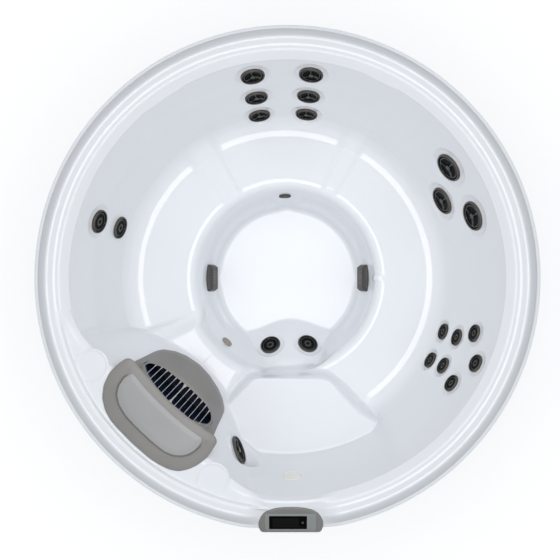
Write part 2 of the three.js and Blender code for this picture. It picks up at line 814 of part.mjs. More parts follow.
// Skimmer housing: a scooped nose between an outline at its foot and one under the lid
const housingFootShares = [
  [1.351, 0.395], [1.153, 0.371], [1.097, 0.324], [1.048, 0.226], [1.004, 0.092],
  [1, -0.04], [1.033, -0.186], [1.129, -0.347], [1.169, -0.377], [1.351, -0.395],
];
const housingTopShares = [
  [1.351, 0.395], [1.191, 0.392], [1.199, 0.324], [1.213, 0.226], [1.23, 0.092],
  [1.233, -0.04], [1.221, -0.186], [1.197, -0.331], [1.188, -0.386], [1.351, -0.395],
];
const housingBellyShare = 0.05;
const housingBellyRise = (deckLevel - housingBottom) / 5;

function housingSolid(inset, bottom, top, back) {
  const foot = offsetOutline(housingFootShares.map(([n, t]) => [n * housingNose, t * housingNose]), -inset);
  const crown = offsetOutline(housingTopShares.map(([n, t]) => [n * housingNose, t * housingNose]), -inset);
  const last = foot.length - 1;
  const ring = (share, height) => foot.map(([n, t], i) => {
    const reach = i === 0 || i === last ? back : lerp(n, crown[i][0], share);
    return across(reach, lerp(t, crown[i][1], share), height);
  });
  const belly = housingBottom + housingBellyRise;
  const over = (top - belly) / (deckLevel - belly);
  return toSolid(loft([ring(0, bottom), ring(housingBellyShare, belly), ring(lerp(housingBellyShare, 1, over), top)]));
}

const bucketAxis = new THREE.Matrix4().setPosition(...across(bucketPlace, 0, 0));
const bucketTop = deckLevel + seatGap;

// Control panel frame: +X to the right, +Y up the slope, +Z out of the land
function panelFrame(lift) {
  const tilt = radians(panelTilt);
  const up = new THREE.Vector3(0, Math.cos(tilt), Math.sin(tilt));
  const out = new THREE.Vector3(0, -Math.sin(tilt), Math.cos(tilt));
  const centre = new THREE.Vector3(panelOffset, -crestRadius, tubHeight - panelTopDepth);
  centre.addScaledVector(out, lift - panelThickness - seatGap);
  return new THREE.Matrix4().makeBasis(new THREE.Vector3(1, 0, 0), up, out).setPosition(centre);
}

function boxAt(width, length, from, to, x = 0, y = 0) {
  const geometry = new THREE.BoxGeometry(width, length, to - from);
  geometry.translate(x, y, (from + to) / 2);
  return geometry;
}

// Rim filled down to its lip, from which the land of the control panel is shaped
function rimBlank() {
  const crown = offsetProfile(rimProfile.slice(0, -2), shellWall / 2);
  const foot = tubHeight - lipDepth - lipThickness;
  return toSolid(turned([...crown, [lipRootRadius - shellWall / 2, foot], [ridgeRadius, foot]], fullTurn / shellStep));
}

function panelLand() {
  const reach = crestRadius;
  const outer = boxAt(2 * (panelLandHalf + shellWall), reach, -reach, reach);
  const inner = boxAt(2 * panelLandHalf, reach, -reach, -panelLandWall);
  return cut(rimBlank().intersect(placedSolid(outer, panelFrame(0))), placedSolid(inner, panelFrame(0)));
}

const suctionPad = boxAt(suctionWidth + 2 * padSink, suctionHeight + 2 * padSink, suctionStandOff - seatGap, overrun);

function acrylicShell() {
  const room = roomSolid();
  const blockBottom = seatLevel - overrun;
  const inside = join(
    blockSolid(0, deckLevel, blockBottom, rimRadius),
    frontSeatSolid(0, frontSeatLevel, -overrun),
    toSolid(domeGeometry(0, 0, floorLevel - shellWall / 2)),
  ).intersect(room);
  const cups = [-1, 1].map((side) => placedSolid(cupBody, cupPlace(side)));
  const deck = deckSegment(deckChord + shellWall / 2, deckReach + deckStep, deckLevel - 1.5 * shellWall, deckLevel + deckStep);
  const hollows = [
    blockSolid(shellWall, deckLevel - shellWall, blockBottom - overrun, rimRadius - overrun),
    frontSeatSolid(shellWall, frontSeatLevel - shellWall, -overrun),
    toSolid(domeGeometry(shellWall * Math.SQRT2, shellWall, -overrun)),
  ];
  const above = boxAt(2 * panelLandHalf, crestRadius, 0, crestRadius);
  const openings = [
    deckSegment(deckChord, deckReach, deckLevel, tubHeight + overrun),
    ...[-1, 1].map((side) => placedSolid(cupHollow, cupPlace(side))),
    placedSolid(above, panelFrame(0)),
    placedSolid(boxAt(panelSpigotWidth + 2 * seatGap, panelSpigotLength + 2 * seatGap, -overrun, overrun), panelFrame(0)),
    housingSolid(-housingClearance, housingBottom - housingClearance, tubHeight, housingBack + housingClearance),
    placedSolid(rod(bucketRadius + housingClearance, seatLevel, tubHeight + overrun, 16), bucketAxis),
    ...jets.flatMap(({ diameter, frame }) => [flatPad(diameter, frame), roundHole(barrelOf(diameter), frame)]),
    ...roundFittings.flatMap(({ diameter, frame }) => [flatPad(diameter, frame), roundHole(barrelOf(diameter), frame)]),
    ...suctionCovers.flatMap(({ frame }) => [
      placedSolid(rod(suctionSpigot + 2 * seatGap, -overrun, overrun, jetSides), frame),
      placedSolid(suctionPad, frame),
    ]),
  ];
  const body = cut(join(sheetSolid(), inside, deck), ...hollows);
  return cut(join(body, ...cups, panelLand()), ...openings);
}

// Base pan with its ribs and the low wall that the cabinet stands round
function basePan() {
  const ribs = panRibShares.flatMap((share) => {
    const [inner, outer] = [-1, 1].map((side) => share * cabinetRadius + (side * panRibWidth) / 2);
    return [[inner, panDeck - panSkin], [inner, 0], [outer, 0], [outer, panDeck - panSkin]];
  });
  const centre = panCentreShare * cabinetRadius;
  return turned([
    [0, 0], [centre, 0], [centre, panDeck - panSkin],
    ...ribs,
    [cabinetRadius - panRibWidth, panDeck - panSkin], [cabinetRadius - panRibWidth, 0],
    [cabinetRadius, 0], [cabinetRadius, panDeck], [0, panDeck],
  ], panSides);
}

// Quarter of the cabinet with upright planks
function cabinetPanel(middle) {
  const seam = THREE.MathUtils.radToDeg(cabinetSeam / cabinetRadius) / 2;
  const groove = THREE.MathUtils.radToDeg(plankGroove / cabinetRadius) / 2;
  const pitch = (quarterTurn - 2 * seam) / planksPerPanel;
  const start = middle - quarterTurn / 2 + seam;
  const outer = [];
  const inner = [];
  for (let i = 0; i < planksPerPanel; i += 1) {
    const from = start + i * pitch;
    outer.push(polar(cabinetRadius, from + (i > 0 ? groove : 0), 0));
    outer.push(polar(cabinetRadius, from + pitch / 2, 0));
    outer.push(polar(cabinetRadius, from + pitch - (i + 1 < planksPerPanel ? groove : 0), 0));
    if (i + 1 < planksPerPanel) {
      outer.push(polar(cabinetRadius - plankGrooveDepth, from + pitch, 0));
    }
    inner.push(polar(cabinetRadius - cabinetSkin, from, 0));
  }
  inner.push(polar(cabinetRadius - cabinetSkin, start + quarterTurn - 2 * seam, 0));
  return toSolid(extruded([...outer, ...inner.reverse()], panDeck + seatGap, cabinetTop));
}

// Post behind each seam of the cabinet, up to the underside of the rim or of the deck
function postTop(azimuth) {
  const behindBlock = Math.abs(azimuth - blockAzimuth) < blockRearAngles[0];
  const under = tubHeight - innerLandDepth - shellWall;
  return (behindBlock ? deckLevel - shellWall : under) - postClearance;
}

function cabinetPost(azimuth) {
  const outer = cabinetRadius - cabinetSkin - cabinetSeam;
  const inner = innerLandRadius + postSetback;
  const geometry = boxAt(outer - inner, postWidth, panDeck + seatGap, postTop(azimuth), (outer + inner) / 2);
  return toSolid(geometry.rotateZ(radians(azimuth)));
}

// Filter lid: a hollow cap with a rounded outline and a raised panel
const lidHalfShares = [
  [0.729, 0.886], [0.736, 0.933], [0.757, 0.97], [0.824, 1], [0.903, 0.933],
  [0.947, 0.816], [0.986, 0.612], [1, 0.443],
];
const lidSagShare = 0.045;
const lidPanelShares = [[0.783, 0.69], [0.86, 0.71], [0.915, 0.6], [0.938, 0.4]];

function lidOutline(inset) {
  const side = lidHalfShares.map(([n, t]) => [n * lidReach, t * lidHalfLength]);
  const arc = [0.6, 0.3].map((share) => [lidInnerReach * (1 + lidSagShare * (1 - share * share)), share * lidHalfLength]);
  const half = [...arc.reverse(), ...side];
  const mirrored = half.map(([n, t]) => [n, -t]).reverse();
  const outline = [[lidInnerReach * (1 + lidSagShare), 0], ...half, ...mirrored];
  return offsetOutline(outline, -inset);
}

function lidPanelOutline(inset) {
  const half = lidPanelShares.map(([n, t]) => [n * lidReach, t * lidHalfLength]);
  const outline = [[lidPanelInnerReach, 0], ...half, ...half.map(([n, t]) => [n, -t]).reverse()];
  return offsetOutline(outline, -inset);
}

function filterLid() {
  const foot = deckLevel + seatGap;
  const top = foot + lidHeight;
  const ring = (outline, height) => outline.map(([n, t]) => across(n, t, height));
  const shoulder = lidHeight * 0.4;
  const outer = toSolid(loft([
    ring(lidOutline(0), foot), ring(lidOutline(0), top - shoulder), ring(lidOutline(shoulder), top),
  ]));
  const hollow = toSolid(loft([
    ring(lidOutline(lidSkin), foot - overrun), ring(lidOutline(lidSkin), top - lidSkin),
  ]));
  const panel = toSolid(loft([
    ring(lidPanelOutline(0), top - lidSkin / 2), ring(lidPanelOutline(lidPanelRise), top + lidPanelRise),
  ]));
  return join(cut(outer, hollow), panel);
}

const grilleArcShares = [-1, -0.7, -0.35, 0, 0.35, 0.7, 1];
const grilleSagShare = 0.45;
const grilleInnerShare = 0.72;

// Skimmer housing with its slotted weir opening
function skimmerHousing() {
  const top = deckLevel - seatGap;
  const shell = cut(
    housingSolid(0, housingBottom, top, housingBack),
    housingSolid(housingSkin, housingBottom + housingSkin, tubHeight, housingBack + overrun),
    placedSolid(rod(bucketRadius + housingClearance, seatLevel, tubHeight, 16), bucketAxis),
  );
  const half = grilleHalfLength;
  const arc = grilleArcShares.map((share) => [
    grilleOuterReach - (grilleOuterReach - grilleInnerReach) * grilleSagShare * share * share, share * half,
  ]);
  const lens = [...arc, ...[1, -1].map((side) => [grilleInnerReach, side * grilleInnerShare * half])];
  const plan = lens.map(([n, t]) => across(n, t, 0));
  const opening = toSolid(extruded(plan, housingBottom + housingBellyRise, tubHeight));
  const slotted = cut(shell, opening);
  return join(slotted, ...grilleBarSolids(shell));
}

// Upright bars across the opening, cut to the slope of the housing's face
function grilleBarSolids() {
  const face = cut(
    housingSolid(0, housingBottom, deckLevel - seatGap, housingBack),
    housingSolid(grilleBarDepth, housingBottom - overrun, tubHeight, housingBack + overrun),
  );
  return Array.from({ length: grilleBars }, (_, i) => {
    const offset = (i - (grilleBars - 1) / 2) * grillePitch;
    const length = grilleOuterReach - grilleInnerReach + 4 * housingSkin;
    const bar = boxAt(length, grilleBarWidth, housingBottom + 2 * housingSkin, tubHeight,
      (grilleOuterReach + grilleInnerReach) / 2, offset);
    return toSolid(bar.rotateZ(radians(blockAzimuth))).intersect(face);
  });
}

function filterBucket() {
  const bottom = bucketTop - bucketDepth;
  const inner = bucketRadius - bucketSkin;
  const wall = turned([
    [cartridgeBore, bottom], [bucketRadius, bottom], [bucketRadius, bucketTop],
    [bucketRadius + bucketFlange, bucketTop], [bucketRadius + bucketFlange, bucketTop + bucketSkin],
    [inner, bucketTop + bucketSkin], [inner, bottom + bucketSkin], [cartridgeBore, bottom + bucketSkin],
  ], 16);
  const window = boxAt(bucketRadius, bucketRadius, housingBottom + bucketRadius, deckLevel - overrun, -bucketRadius);
  return cut(placedSolid(wall, bucketAxis), placedSolid(window.rotateZ(radians(blockAzimuth)), bucketAxis));
}

function filterCartridge() {
  const bottom = bucketTop - bucketDepth + bucketSkin + seatGap;
  const star = Array.from({ length: 2 * cartridgePleats }, (_, i) => {
    const radius = cartridgeRadius - (i % 2) * cartridgePleatDepth;
    return polar(radius, (i * halfTurn) / cartridgePleats, 0);
  });
  const cap = bucketSkin * 2;
  const pleats = toSolid(extruded(star, bottom + cap / 2, bottom + cartridgeLength - cap / 2));
  const ends = [bottom, bottom + cartridgeLength - cap].map((from) => (
    toSolid(rod(cartridgeRadius + bucketSkin, from, from + cap, 16))));
  const bore = toSolid(rod(cartridgeBore, bottom - overrun, bottom + cartridgeLength + overrun, 8));
  return cut(join(pleats, ...ends), bore).transform(bucketAxis.elements);
}

// Control panel pieces, each let into the one below it
const bezelArch = 12;
const bezelCorner = 0.28;

function bezelOutline() {
  const [w, h] = [panelWidth / 2, panelLength / 2];
  const r = bezelCorner * panelLength;
  const lower = Array.from({ length: 5 }, (_, i) => {
    const angle = (i * Math.PI) / 8;
    return [w - r + r * Math.sin(angle), -h + r - r * Math.cos(angle)];
  });
  const upper = [[w, h - bezelArch - r / 3], [w - r / 3, h - bezelArch], [w / 2, h - bezelArch / 4]];
  const half = [...lower, ...upper];
  return [...half, [0, h], ...half.map(([x, y]) => [-x, y]).reverse()];
}

function controlBezel() {
  const outline = bezelOutline();
  const body = toSolid(loft([
    outline.map(([x, y]) => [x, y, 0]),
    outline.map(([x, y]) => [x, y, panelThickness * 0.6]),
    offsetOutline(outline, -panelThickness * 0.4).map(([x, y]) => [x, y, panelThickness]),
  ]));
  const spigot = toSolid(boxAt(panelSpigotWidth, panelSpigotLength, -2 * panelLandWall, panelThickness / 2));
  const recess = boxAt(plateWidth + 2 * seatGap, plateLength + 2 * seatGap,
    panelThickness - plateThickness, panelThickness + overrun);
  return cut(join(body, spigot), toSolid(recess)).transform(panelFrame(seatGap).elements);
}

function controlPlate() {
  const plate = toSolid(boxAt(plateWidth, plateLength, seatGap, plateThickness + seatGap));
  const recess = boxAt(screenWidth + 2 * seatGap, screenLength + 2 * seatGap,
    plateThickness + seatGap - screenThickness / 2, plateThickness + overrun, -screenOffset);
  return cut(plate, toSolid(recess)).transform(panelFrame(seatGap + panelThickness - plateThickness).elements);
}

function controlScreen() {
  const base = panelThickness + seatGap - screenThickness / 2 + seatGap;
  const screen = toSolid(boxAt(screenWidth, screenLength, base, base + screenThickness, -screenOffset));
  return screen.transform(panelFrame(seatGap).elements);
}

// Round fittings with a domed face and a barrel through the acrylic
function roundFitting({ diameter, thickness, frame }) {
  const radius = diameter / 2;
  const barrel = barrelOf(diameter);
  const face = toSolid(turned([
    [0, seatGap], [radius, seatGap], [radius, thickness * 0.5], [radius * 0.8, thickness * 0.9], [0, thickness],
  ], jetSides));
  const neck = toSolid(rod(barrel, -shellWall - seatGap, thickness / 2, barrelSides));
  return join(face, neck).transform(frame.elements);
}

const suctionSideShare = 0.72;

function suctionCover({ frame }) {
  const [w, h] = [suctionWidth / 2, suctionHeight / 2];
  const cornerCut = suctionDepth;
  const outline = [
    [w, h - cornerCut], [w - cornerCut, h], [-w + cornerCut, h], [-w, h - cornerCut],
    [-w, -h + cornerCut], [-w + cornerCut, -h], [w - cornerCut, -h], [w, -h + cornerCut],
  ];
  const front = outline.map(([x, y]) => [x * suctionSideShare, y * suctionSideShare, suctionStandOff + suctionDepth]);
  const edge = outline.map(([x, y]) => [x, y, suctionStandOff]);
  const step = outline.map(([x, y]) => [x, y, suctionStandOff + suctionDepth * 0.4]);
  const cover = toSolid(loft([edge, step, front]));
  const spigot = toSolid(rod(suctionSpigot, -shellWall - seatGap, suctionStandOff + seatGap, jetSides));
  return join(cover, spigot).transform(frame.elements);
}

// Jet face: flange, recess and barrel round a water passage, and the rotor that spins in it
function jetFace({ diameter, rotor, frame }) {
  const radius = diameter / 2;
  const barrel = barrelOf(diameter);
  const bore = radius * boreShare;
  const recess = radius * rotorShare;
  const back = -shellWall - padSink - seatGap;
  const front = flangeThickness;
  const floor = rotor ? front * 0.25 : front * 0.45;
  return placedSolid(turned([
    [bore, back], [barrel, back], [barrel, seatGap], [radius, seatGap],
    [radius * 0.88, front], [recess, floor], [bore, floor],
  ], jetSides), frame);
}

const rotorSpokes = 3;

function jetRotor({ diameter, frame }) {
  const radius = (diameter / 2) * rotorShare * Math.cos(Math.PI / jetSides) - 4 * seatGap;
  const from = flangeThickness * 0.25 + seatGap;
  const to = flangeThickness * 0.85;
  const disc = turned([[0, from], [radius, from], [radius * 0.4, to], [0, to]], jetSides);
  const ports = Array.from({ length: rotorSpokes - 1 }, (_, i) => {
    const port = rod(radius * 0.27, from - overrun, to + overrun, 5);
    const angle = (i * 2 * Math.PI) / rotorSpokes;
    return toSolid(port.translate(radius * 0.58 * Math.cos(angle), radius * 0.58 * Math.sin(angle), 0));
  });
  return cut(toSolid(disc), ...ports).transform(frame.elements);
}

// Straight pipe between two points
function pipe(from, to, radius = pipeRadius, sides = 5) {
  const [a, b] = [new THREE.Vector3(...from), new THREE.Vector3(...to)];
  const matrix = frameAt(from, b.clone().sub(a).toArray());
  return placedSolid(rod(radius, 0, a.distanceTo(b), sides), matrix);
}

function pipeRun(points) {
  const lengths = points.slice(1).map((point, i) => pipe(points[i], point));
  const elbows = points.slice(1, -1).map((point) => (
    toSolid(stripped(new THREE.SphereGeometry(pipeRadius * 1.05, 6, 4)).translate(...point))));
  return join(...lengths, ...elbows);
}

const pumpLevel = panDeck + seatGap + pumpFootHeight + wetEndRadius;
const pumpStart = -(motorLength + wetEndLength) / 2;
const heaterCentre = panDeck + seatGap + pumpFootHeight + heaterRadius;
const heaterEnd = heaterLength / 2 + seatGap;
const pipeElbow = 2 * pipeRadius;
const feedAzimuth = 285;

function plumbing() {
  const ring = new THREE.TorusGeometry(ringPipeRadius, pipeRadius, 5, 24).translate(0, 0, ringPipeLevel);
  const backs = [...jets, ...roundFittings.slice(1)].map(({ point, normal, diameter, frame }) => {
    const depth = shellWall + padSink + jetBodyGap;
    const body = rod(barrelOf(diameter) + pipeRadius / 2, -depth - jetBodyDepth, -depth, 5);
    const middle = point.map((value, axis) => value - normal[axis] * (depth + jetBodyDepth / 2));
    const azimuth = THREE.MathUtils.radToDeg(Math.atan2(middle[1], middle[0]));
    const inFootwell = Math.hypot(...middle.slice(0, 2)) < wallBottomRadius * 0.8;
    const turn = inFootwell && middle[1] < 0 ? Math.sign(middle[0]) * footPipeSwing : 0;
    const end = polar(ringPipeRadius, azimuth + turn, ringPipeLevel);
    return join(placedSolid(body, frame), pipe(middle, end, pipeRadius * 0.8, 4));
  });
  const port = [heaterEnd, -heaterReach, heaterCentre];
  const feed = pipeRun([
    port, [heaterEnd + pipeElbow, -heaterReach, heaterCentre],
    polar(ringPipeRadius, feedAzimuth, ringPipeLevel),
  ]);
  return join(toSolid(ring), ...backs, feed);
}

function suctionPipe() {
  const outlet = across(bucketPlace, 0, bucketTop - bucketDepth - seatGap);
  const inlet = [pumpStart - seatGap, -pumpReach, pumpLevel];
  return pipeRun([
    outlet,
    across(bucketPlace, 0, ringPipeLevel + 3 * pipeElbow),
    [pumpStart - wetEndLength, -pumpReach, pumpLevel],
    inlet,
  ]);
}

// Pump: wet end with its discharge, and the motor on two feet
function pumpWetEnd() {
  const body = rod(wetEndRadius, 0, wetEndLength, 16).rotateY(Math.PI / 2).translate(pumpStart, -pumpReach, pumpLevel);
  const middle = pumpStart + wetEndLength / 2;
  const foot = boxAt(wetEndLength / 2, wetEndRadius, panDeck + seatGap, pumpLevel, middle, -pumpReach);
  const top = pumpLevel + wetEndRadius / 2;
  const discharge = pipeRun([
    [middle, -pumpReach, top],
    [-heaterEnd - pipeElbow, -heaterReach, top],
    [-heaterEnd - pipeElbow, -heaterReach, heaterCentre],
    [-heaterEnd, -heaterReach, heaterCentre],
  ]);
  return join(toSolid(body), toSolid(foot), discharge);
}

function pumpMotor() {
  const start = pumpStart + wetEndLength + seatGap;
  const body = rod(motorRadius, 0, motorLength, 16).rotateY(Math.PI / 2).translate(start, -pumpReach, pumpLevel);
  const feet = boxAt(motorLength * 0.6, motorRadius * 1.4, panDeck + seatGap, pumpLevel,
    start + motorLength / 2, -pumpReach);
  const box = boxAt(motorLength * 0.4, motorRadius, pumpLevel, pumpLevel + motorRadius * 1.25,
    start + motorLength / 2, -pumpReach);
  return join(toSolid(body), toSolid(feet), toSolid(box));
}

function heater() {
  const body = rod(heaterRadius, 0, heaterLength, 12).rotateY(Math.PI / 2)
    .translate(-heaterLength / 2, -heaterReach, heaterCentre);
  const cradles = [-1, 1].map((side) => toSolid(boxAt(
    pumpFootHeight, heaterRadius, panDeck + seatGap, heaterCentre, (side * heaterLength) / 3, -heaterReach,
  )));
  return join(toSolid(body), ...cradles);
}

function controlBox() {
  const box = boxAt(boxDepth, boxWidth, panDeck + seatGap, panDeck + seatGap + boxHeight, boxReach);
  const cover = boxAt(boxDepth * 0.4, boxWidth * 0.9, panDeck + boxHeight * 0.1, panDeck + boxHeight * 0.9,
    boxReach + boxDepth * 0.4);
  return join(toSolid(box), toSolid(cover)).rotate([0, 0, boxAzimuth]);
}

function drainFrame() {
  const [x, y] = polar(cabinetRadius - cabinetSkin, drainAzimuth, 0);
  return frameAt([x, y, drainLevel], polar(1, drainAzimuth, 0));
}

function drainValve() {
  const flange = drainRadius * 1.5;
  const out = cabinetSkin + seatGap;
  return placedSolid(turned([
    [0, -drainLength / 2], [drainRadius, -drainLength / 2], [drainRadius, out], [flange, out],
    [flange, out + drainRadius / 4], [drainRadius * 0.8, out + drainRadius], [0, out + drainRadius],
  ], jetSides), drainFrame());
}

const panelNames = ['cabinet_panel_right', 'cabinet_panel_back', 'cabinet_panel_left', 'cabinet_panel_front'];

// The tub as a scene graph of named pieces

const hotTub = new THREE.Group();

function add(name, solid, look) {
  const geometry = toGeometry(solid);
  const mesh = new THREE.Mesh(geometry, new THREE.MeshStandardMaterial(look));
  mesh.name = name;
  hotTub.add(mesh);
}

add('acrylic_shell', acrylicShell(), acrylicWhite);
add('base_pan', toSolid(basePan()), panBlack);
panelNames.forEach((name, i) => {
  const panel = cabinetPanel(i * quarterTurn);
  add(name, i === 3 ? cut(panel, roundHole(drainRadius, drainFrame())) : panel, cabinetGrey);
  add(`cabinet_post_${i + 1}`, cabinetPost((i + 0.5) * quarterTurn), timber);
});
add('filter_lid', filterLid(), lidGrey);
add('skimmer_housing', skimmerHousing(), housingGrey);
add('filter_bucket', filterBucket(), housingGrey);
add('filter_cartridge', filterCartridge(), paperWhite);
add('control_bezel', controlBezel(), panelGrey);
add('control_plate', controlPlate(), plateGreen);
add('control_screen', controlScreen(), screenBlack);
roundFittings.forEach((fitting) => add(fitting.name, roundFitting(fitting), fitting.look));
suctionCovers.forEach((cover) => add(cover.name, suctionCover(cover), fittingGrey));
jets.forEach((jet) => add(jet.name, jetFace(jet), jetPewter));
jets.filter(({ rotor }) => rotor).forEach((jet) => add(`${jet.name}_rotor`, jetRotor(jet), jetBlack));
add('plumbing_manifold', plumbing(), pipeWhite);
add('suction_pipe', suctionPipe(), pipeWhite);
add('pump_wet_end', pumpWetEnd(), panBlack);
add('pump_motor', pumpMotor(), motorSteel);
add('heater', heater(), heaterSteel);
add('control_box', controlBox(), boxGrey);
add('drain_valve', drainValve(), panBlack);

export default hotTub;
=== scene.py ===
"""Round acrylic hot tub: fine surfaces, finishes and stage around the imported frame."""
import json
import math

import bpy
import numpy as np
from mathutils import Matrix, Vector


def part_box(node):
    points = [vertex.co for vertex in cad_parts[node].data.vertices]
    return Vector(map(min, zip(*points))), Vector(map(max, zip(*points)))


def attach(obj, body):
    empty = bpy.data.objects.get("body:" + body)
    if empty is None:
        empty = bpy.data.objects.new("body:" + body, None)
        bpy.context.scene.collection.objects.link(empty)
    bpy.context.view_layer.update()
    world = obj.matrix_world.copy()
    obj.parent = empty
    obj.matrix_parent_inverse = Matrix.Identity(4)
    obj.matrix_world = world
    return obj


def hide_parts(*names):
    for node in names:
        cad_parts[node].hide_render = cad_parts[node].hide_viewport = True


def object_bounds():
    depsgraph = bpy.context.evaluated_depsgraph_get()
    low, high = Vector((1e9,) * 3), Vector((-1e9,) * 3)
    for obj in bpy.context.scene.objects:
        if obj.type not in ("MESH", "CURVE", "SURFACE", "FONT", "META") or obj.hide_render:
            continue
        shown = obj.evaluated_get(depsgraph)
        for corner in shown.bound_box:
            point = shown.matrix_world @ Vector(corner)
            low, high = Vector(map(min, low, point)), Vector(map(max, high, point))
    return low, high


bl_info = {
    "name": "Round Hot Tub",
    "version": (1, 0, 0),
    "blender": (4, 5, 0),
    "location": "View3D > Sidebar > Hot Tub",
    "description": "Builds the surfaces and finishes of a round acrylic hot tub",
    "category": "Object",
}

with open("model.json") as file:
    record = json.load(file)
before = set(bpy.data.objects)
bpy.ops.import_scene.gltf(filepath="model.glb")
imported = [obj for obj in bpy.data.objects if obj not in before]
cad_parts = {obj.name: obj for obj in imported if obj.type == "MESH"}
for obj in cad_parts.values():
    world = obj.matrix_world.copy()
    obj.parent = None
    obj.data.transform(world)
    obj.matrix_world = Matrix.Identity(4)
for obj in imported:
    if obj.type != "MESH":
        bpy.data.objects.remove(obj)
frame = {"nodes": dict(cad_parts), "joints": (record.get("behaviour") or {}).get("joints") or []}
cad_low, cad_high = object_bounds()
MM = 0.001


# Properties that a user would change


class HotTubSizes(bpy.types.PropertyGroup):
    """Sizes of the tub's visible surfaces, in metres."""

    height: bpy.props.FloatProperty(
        name="Height", description="Height of the crest of the rim above the floor",
        default=cad_high.z, unit="LENGTH")
    shell_wall: bpy.props.FloatProperty(
        name="Shell Wall", description="Thickness of the acrylic", default=0.009, unit="LENGTH")
    jet_flange: bpy.props.FloatProperty(
        name="Jet Flange", description="Height of a jet's ring above its pad", default=0.011, unit="LENGTH")


class HotTubLooks(bpy.types.PropertyGroup):
    """Colours and gloss of the tub's finishes."""

    acrylic: bpy.props.FloatVectorProperty(
        name="Acrylic", description="Colour of the shell", subtype="COLOR",
        default=(0.874, 0.886, 0.912), min=0, max=1)
    acrylic_roughness: bpy.props.FloatProperty(
        name="Acrylic Roughness", description="Roughness of the shell", default=0.1, subtype="FACTOR")
    lid_grey: bpy.props.FloatVectorProperty(
        name="Lid Grey", description="Colour of the filter lid", subtype="COLOR",
        default=(0.385, 0.38, 0.375), min=0, max=1)
    # The flange's colour is partly its own taupe and partly painted shade of its downward slope
    lid_taupe_and_shade: bpy.props.FloatVectorProperty(
        name="Lid Taupe And Shade", description="Colour of the filter lid's flange", subtype="COLOR",
        default=(0.268, 0.257, 0.244), min=0, max=1)
    skimmer_grey: bpy.props.FloatVectorProperty(
        name="Skimmer Grey", description="Colour of the skimmer housing", subtype="COLOR",
        default=(0.252, 0.236, 0.226), min=0, max=1)
    pewter: bpy.props.FloatVectorProperty(
        name="Pewter", description="Colour of the jet rings", subtype="COLOR",
        default=(0.085, 0.075, 0.066), min=0, max=1)


class HotTubStage(bpy.types.PropertyGroup):
    """Camera, floor and light."""

    camera_height: bpy.props.FloatProperty(
        name="Camera Height", description="Height of the camera above the rim", default=2.74, unit="LENGTH")
    lens: bpy.props.FloatProperty(name="Lens", description="Focal length in millimetres", default=45.56)
    lamp_power: bpy.props.FloatProperty(
        name="Lamp Power", description="Power of the round soft light overhead, in watts", default=30.0)
    fill_power: bpy.props.FloatProperty(
        name="Fill Power", description="Power of the low fill light over the basin, in watts", default=7.3)
    sky_level: bpy.props.FloatProperty(
        name="Sky Level", description="Brightness of the surroundings from above", default=0.69)


# Numbers and curves


def ease(share):
    """Smooth step: 3s^2 - 2s^3 of the share held between 0 and 1."""
    s = np.clip(share, 0, 1)
    return s * s * (3 - 2 * s)


def mix(a, b, share):
    """Straight mix from a to b."""
    return a + (b - a) * share


def higher(a, b, width):
    """Rounded maximum: the larger of a and b plus h^2 * width / 4, h = 1 - |a-b| / width where positive."""
    h = np.clip(1 - np.abs(a - b) / width, 0, None)
    return np.maximum(a, b) + h * h * width / 4


def lower(a, b, width):
    """Rounded minimum, the mirror of the rounded maximum."""
    return -higher(-a, -b, width)


def sector(azimuth, start, end, fade):
    """1 between two azimuths in degrees, easing to 0 over the fade outside them."""
    return np.minimum(ease((azimuth - start + fade) / fade), ease((end + fade - azimuth) / fade))


def resampled(points, count, closed=False):
    """Points spaced evenly by length along a polyline."""
    p = np.asarray(points, float)
    if closed:
        p = np.vstack([p, p[:1]])
    s = np.concatenate([[0], np.cumsum(np.linalg.norm(np.diff(p, axis=0), axis=1))])
    at = np.linspace(0, s[-1], count + 1)[:-1] if closed else np.linspace(0, s[-1], count)
    return np.stack([np.interp(at, s, p[:, k]) for k in range(p.shape[1])], 1)


SMOOTHING_POINTS = 1200


def rounded(points, radius, count, closed=False):
    """Polyline with its corners softened: an even resampling smoothed by a bell of the given radius."""
    fine = resampled(points, SMOOTHING_POINTS, closed)
    step = np.linalg.norm(fine[1] - fine[0])
    half = max(1, int(1.5 * radius / step))
    bell = np.exp(-0.5 * (np.arange(-half, half + 1) * step / (0.5 * radius)) ** 2)
    bell /= bell.sum()
    if closed:
        padded = np.vstack([fine[-half:], fine, fine[:half]])
    else:
        before = 2 * fine[0] - fine[half:0:-1]
        after = 2 * fine[-1] - fine[-2:-half - 2:-1]
        padded = np.vstack([before, fine, after])
    soft = np.stack([np.convolve(padded[:, k], bell, "valid") for k in range(fine.shape[1])], 1)
    return resampled(soft, count, closed)


LONGEST_TANGENT = 0.48


def corner_arc(before, corner, after, radius, steps):
    """Circular arc in a corner of many profiles at once: tangent length r / tan(half angle), swept evenly.

    The tangent takes no more than a share of the shorter leg."""
    u, v = before - corner, after - corner
    lu, lv = np.linalg.norm(u, axis=-1), np.linalg.norm(v, axis=-1)
    u, v = u / lu[..., None], v / lv[..., None]
    half = np.arccos(np.clip((u * v).sum(-1), -1, 1)) / 2
    tangent = np.minimum(radius / np.tan(half), np.minimum(lu, lv) * LONGEST_TANGENT)
    bisector = u + v
    bisector /= np.linalg.norm(bisector, axis=-1)[..., None]
    centre = corner + bisector * (tangent / np.cos(half))[..., None]
    start, end = corner + u * tangent[..., None] - centre, corner + v * tangent[..., None] - centre
    sweep = np.pi - 2 * half
    k = np.linspace(0, 1, steps + 1)
    a = np.sin((1 - k) * sweep[..., None]) / np.sin(sweep)[..., None]
    b = np.sin(k * sweep[..., None]) / np.sin(sweep)[..., None]
    return centre[:, None] + a[..., None] * start[:, None] + b[..., None] * end[:, None]


# Meshes


def scene_object(name, data, height=0.0):
    """New object in the scene, over the origin at a height."""
    obj = bpy.data.objects.new(name, data)
    obj.location.z = height
    bpy.context.scene.collection.objects.link(obj)
    return obj


